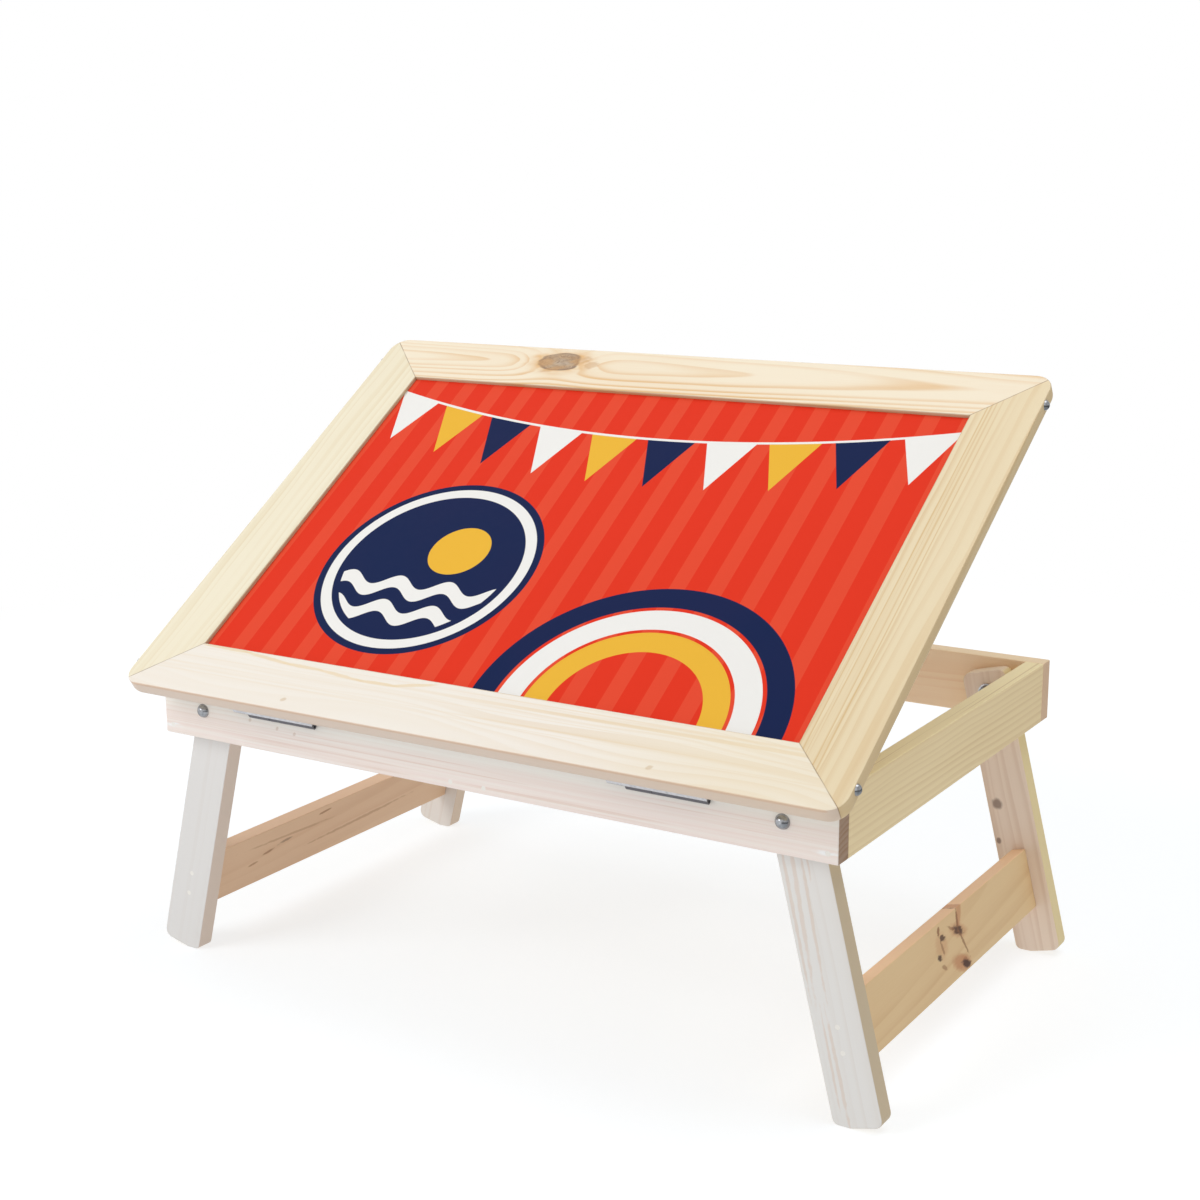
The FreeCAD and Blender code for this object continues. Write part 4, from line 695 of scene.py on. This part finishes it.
# The prop and the batten that carries it under the top: two plain pine boards, the batten
# screwed to the frame's sides and the prop hinged to it, so that it swings down to the slat.
PROP_LEAN = math.radians(80) - TILT
DOWN_PROP = Vector((0, math.cos(PROP_LEAN), -math.sin(PROP_LEAN)))
PROP_PINE = {"early": (238, 216, 180), "late": (214, 178, 130)}
Pine("prop_batten", ACROSS, UP_TOP, seed=21.0, **PROP_PINE)
Pine("prop_board", DOWN_PROP, ACROSS, seed=23.0, **PROP_PINE)

# The pad that the prop stands on: black ribbed rubber, glued to the slat, greyed with dust
# between its ribs.
DUST_STRETCH, DUST_EDGE, DUST_ROUGH = (220, 220, 220), (0.45, 0.75), (0.2, 0.6)
tree, shader = new_material("pad_rubber", "prop_pad")
coordinates = tree.nodes.new("ShaderNodeTexCoord")
number, vector, mix, ramp, noise = sums(tree)
dust = noise(coordinates.outputs["Object"], DUST_STRETCH, detail=4.0, rough=0.65)
rubber = mix(ramp(dust, *DUST_EDGE), screen(34, 34, 35), screen(92, 90, 88))
tree.links.new(rubber, shader.inputs["Base Color"])
tree.links.new(number("MULTIPLY_ADD", dust, *DUST_ROUGH), shader.inputs["Roughness"])

# The studio: a white floor that fades into a white room, with a large soft lamp in front on
# the left and a weaker one above on the right. Metal mirrors a room that is darker on the
# right, so that the domed heads have a dark side.
FLOOR_REACH = 30.0
FLOOR_COLOUR, FLOOR_ROUGH = (0.88, 0.94, 0.99, 1), 0.9
FADE_START, FADE_END = 0.55, 1.5
NEAR_GLOW, NEAR_LIFT, BOUNCE_GLOW = 0.48, 0.33, 0.58
DARK_FLOOR, DARK_SHARE = (0.1, 0.55), 0.9
floor_mesh = bpy.data.meshes.new("studio_floor")
floor_mesh.from_pydata([(-FLOOR_REACH, -FLOOR_REACH, 0), (FLOOR_REACH, -FLOOR_REACH, 0),
                        (FLOOR_REACH, FLOOR_REACH, 0), (-FLOOR_REACH, FLOOR_REACH, 0)], [], [(0, 1, 2, 3)])
floor = bpy.data.objects.new("studio_floor", floor_mesh)
bpy.context.scene.collection.objects.link(floor)
floor_white = bpy.data.materials.new("studio_white")
floor_white.use_nodes = True
floor_mesh.materials.append(floor_white)
tree = floor_white.node_tree
shader = tree.nodes["Principled BSDF"]
shader.inputs["Base Color"].default_value = FLOOR_COLOUR
shader.inputs["Roughness"].default_value = FLOOR_ROUGH
glow = tree.nodes.new("ShaderNodeEmission")
rays = tree.nodes.new("ShaderNodeLightPath")
coordinates = tree.nodes.new("ShaderNodeTexCoord")
number, vector, mix, ramp, noise = sums(tree)
floor_place = coordinates.outputs["Object"]
seen = number("MAXIMUM", rays.outputs["Is Camera Ray"], rays.outputs["Is Glossy Ray"])
far = ramp(vector("LENGTH", floor_place), FADE_START, FADE_END)
glow_share = number("MULTIPLY_ADD", far, 1 - NEAR_GLOW, NEAR_GLOW - BOUNCE_GLOW)
glow_share = number("MULTIPLY_ADD", seen, glow_share, BOUNCE_GLOW)
dark = number("MULTIPLY", rays.outputs["Is Glossy Ray"], ramp(axes_of(tree, floor_place)[0], *DARK_FLOOR))
lift = number("MULTIPLY_ADD", far, -NEAR_LIFT, NEAR_LIFT)
lift = number("MULTIPLY", rays.outputs["Is Camera Ray"], lift)
strength = number("ADD", number("MULTIPLY_ADD", dark, -DARK_SHARE, 1.0), lift)
tree.links.new(strength, glow.inputs["Strength"])
blend = tree.nodes.new("ShaderNodeMixShader")
tree.links.new(glow_share, blend.inputs[0])
tree.links.new(shader.outputs[0], blend.inputs[1])
tree.links.new(glow.outputs[0], blend.inputs[2])
tree.links.new(blend.outputs[0], tree.nodes["Material Output"].inputs[0])

ROOM_LIGHT = 0.52
WHITE = (1, 1, 1, 1)
BRIGHT_WAY, BRIGHT_EDGE, MIRROR_LEVEL = (-0.7, -0.6, 0.35), (-0.35, 0.5), (0.80, 0.20)
world = bpy.data.worlds.new("studio_room")
bpy.context.scene.world = world
world.use_nodes = True
tree = world.node_tree
room = tree.nodes["Background"]
room.inputs["Color"].default_value = WHITE
room.inputs["Strength"].default_value = ROOM_LIGHT
backdrop = tree.nodes.new("ShaderNodeBackground")
backdrop.inputs["Color"].default_value = WHITE
backdrop.inputs["Strength"].default_value = 1.0
coordinates = tree.nodes.new("ShaderNodeTexCoord")
rays = tree.nodes.new("ShaderNodeLightPath")
number, vector, mix, ramp, noise = sums(tree)
bright_side = ramp(vector("DOT_PRODUCT", coordinates.outputs["Generated"], BRIGHT_WAY), *BRIGHT_EDGE)
mirrored = number("MULTIPLY_ADD", bright_side, *MIRROR_LEVEL)
mirrored = number("MULTIPLY", rays.outputs["Is Glossy Ray"], mirrored)
seen = number("MAXIMUM", rays.outputs["Is Camera Ray"], rays.outputs["Is Transmission Ray"])
blend = tree.nodes.new("ShaderNodeMixShader")
tree.links.new(number("MAXIMUM", seen, mirrored), blend.inputs[0])
tree.links.new(room.outputs[0], blend.inputs[1])
tree.links.new(backdrop.outputs[0], blend.inputs[2])
tree.links.new(blend.outputs[0], tree.nodes["World Output"].inputs[0])

LAMP_AIM = Vector((0, 0, 0.25))


def soft_lamp(name, place, size, power):
    """A square area lamp that points at the middle of the table."""
    lamp = bpy.data.lights.new(name, "AREA")
    lamp.size = size
    lamp.energy = power
    holder = bpy.data.objects.new(name, lamp)
    holder.location = place
    holder.rotation_euler = (LAMP_AIM - Vector(place)).to_track_quat("-Z", "Y").to_euler()
    bpy.context.scene.collection.objects.link(holder)


soft_lamp("key_lamp", place=(-1.5, -2.2, 1.75), size=1.6, power=33)
soft_lamp("side_lamp", place=(0.7, 0.3, 2.5), size=1.6, power=16)

# The camera stands in front, to the right and a little above, where the photograph was taken.
# Its place, angles and lens were fitted to the table's corners in the photograph.
CAMERA_PLACE = (0.7863, -1.2642, 0.6331)
YAW, PITCH, ROLL = math.radians(31.88), math.radians(-12.89), math.radians(-0.27)
LENS, SENSOR = 59.04, 36.0
camera_data = bpy.data.cameras.new("camera")
camera_data.sensor_fit = "HORIZONTAL"
camera_data.sensor_width = SENSOR
camera_data.lens = LENS
camera = bpy.data.objects.new("camera", camera_data)
sight = Vector((-math.sin(YAW) * math.cos(PITCH), math.cos(YAW) * math.cos(PITCH), math.sin(PITCH)))
level_side = Vector((math.cos(YAW), math.sin(YAW), 0))
level_up = level_side.cross(sight)
rolled_side = level_side * math.cos(ROLL) + level_up * math.sin(ROLL)
rolled_up = level_up * math.cos(ROLL) - level_side * math.sin(ROLL)
camera_turn = Matrix((rolled_side, rolled_up, -sight)).transposed().to_4x4()
camera.matrix_world = Matrix.Translation(CAMERA_PLACE) @ camera_turn
bpy.context.scene.collection.objects.link(camera)
bpy.context.scene.camera = camera
bpy.context.scene.view_settings.view_transform = "Standard"
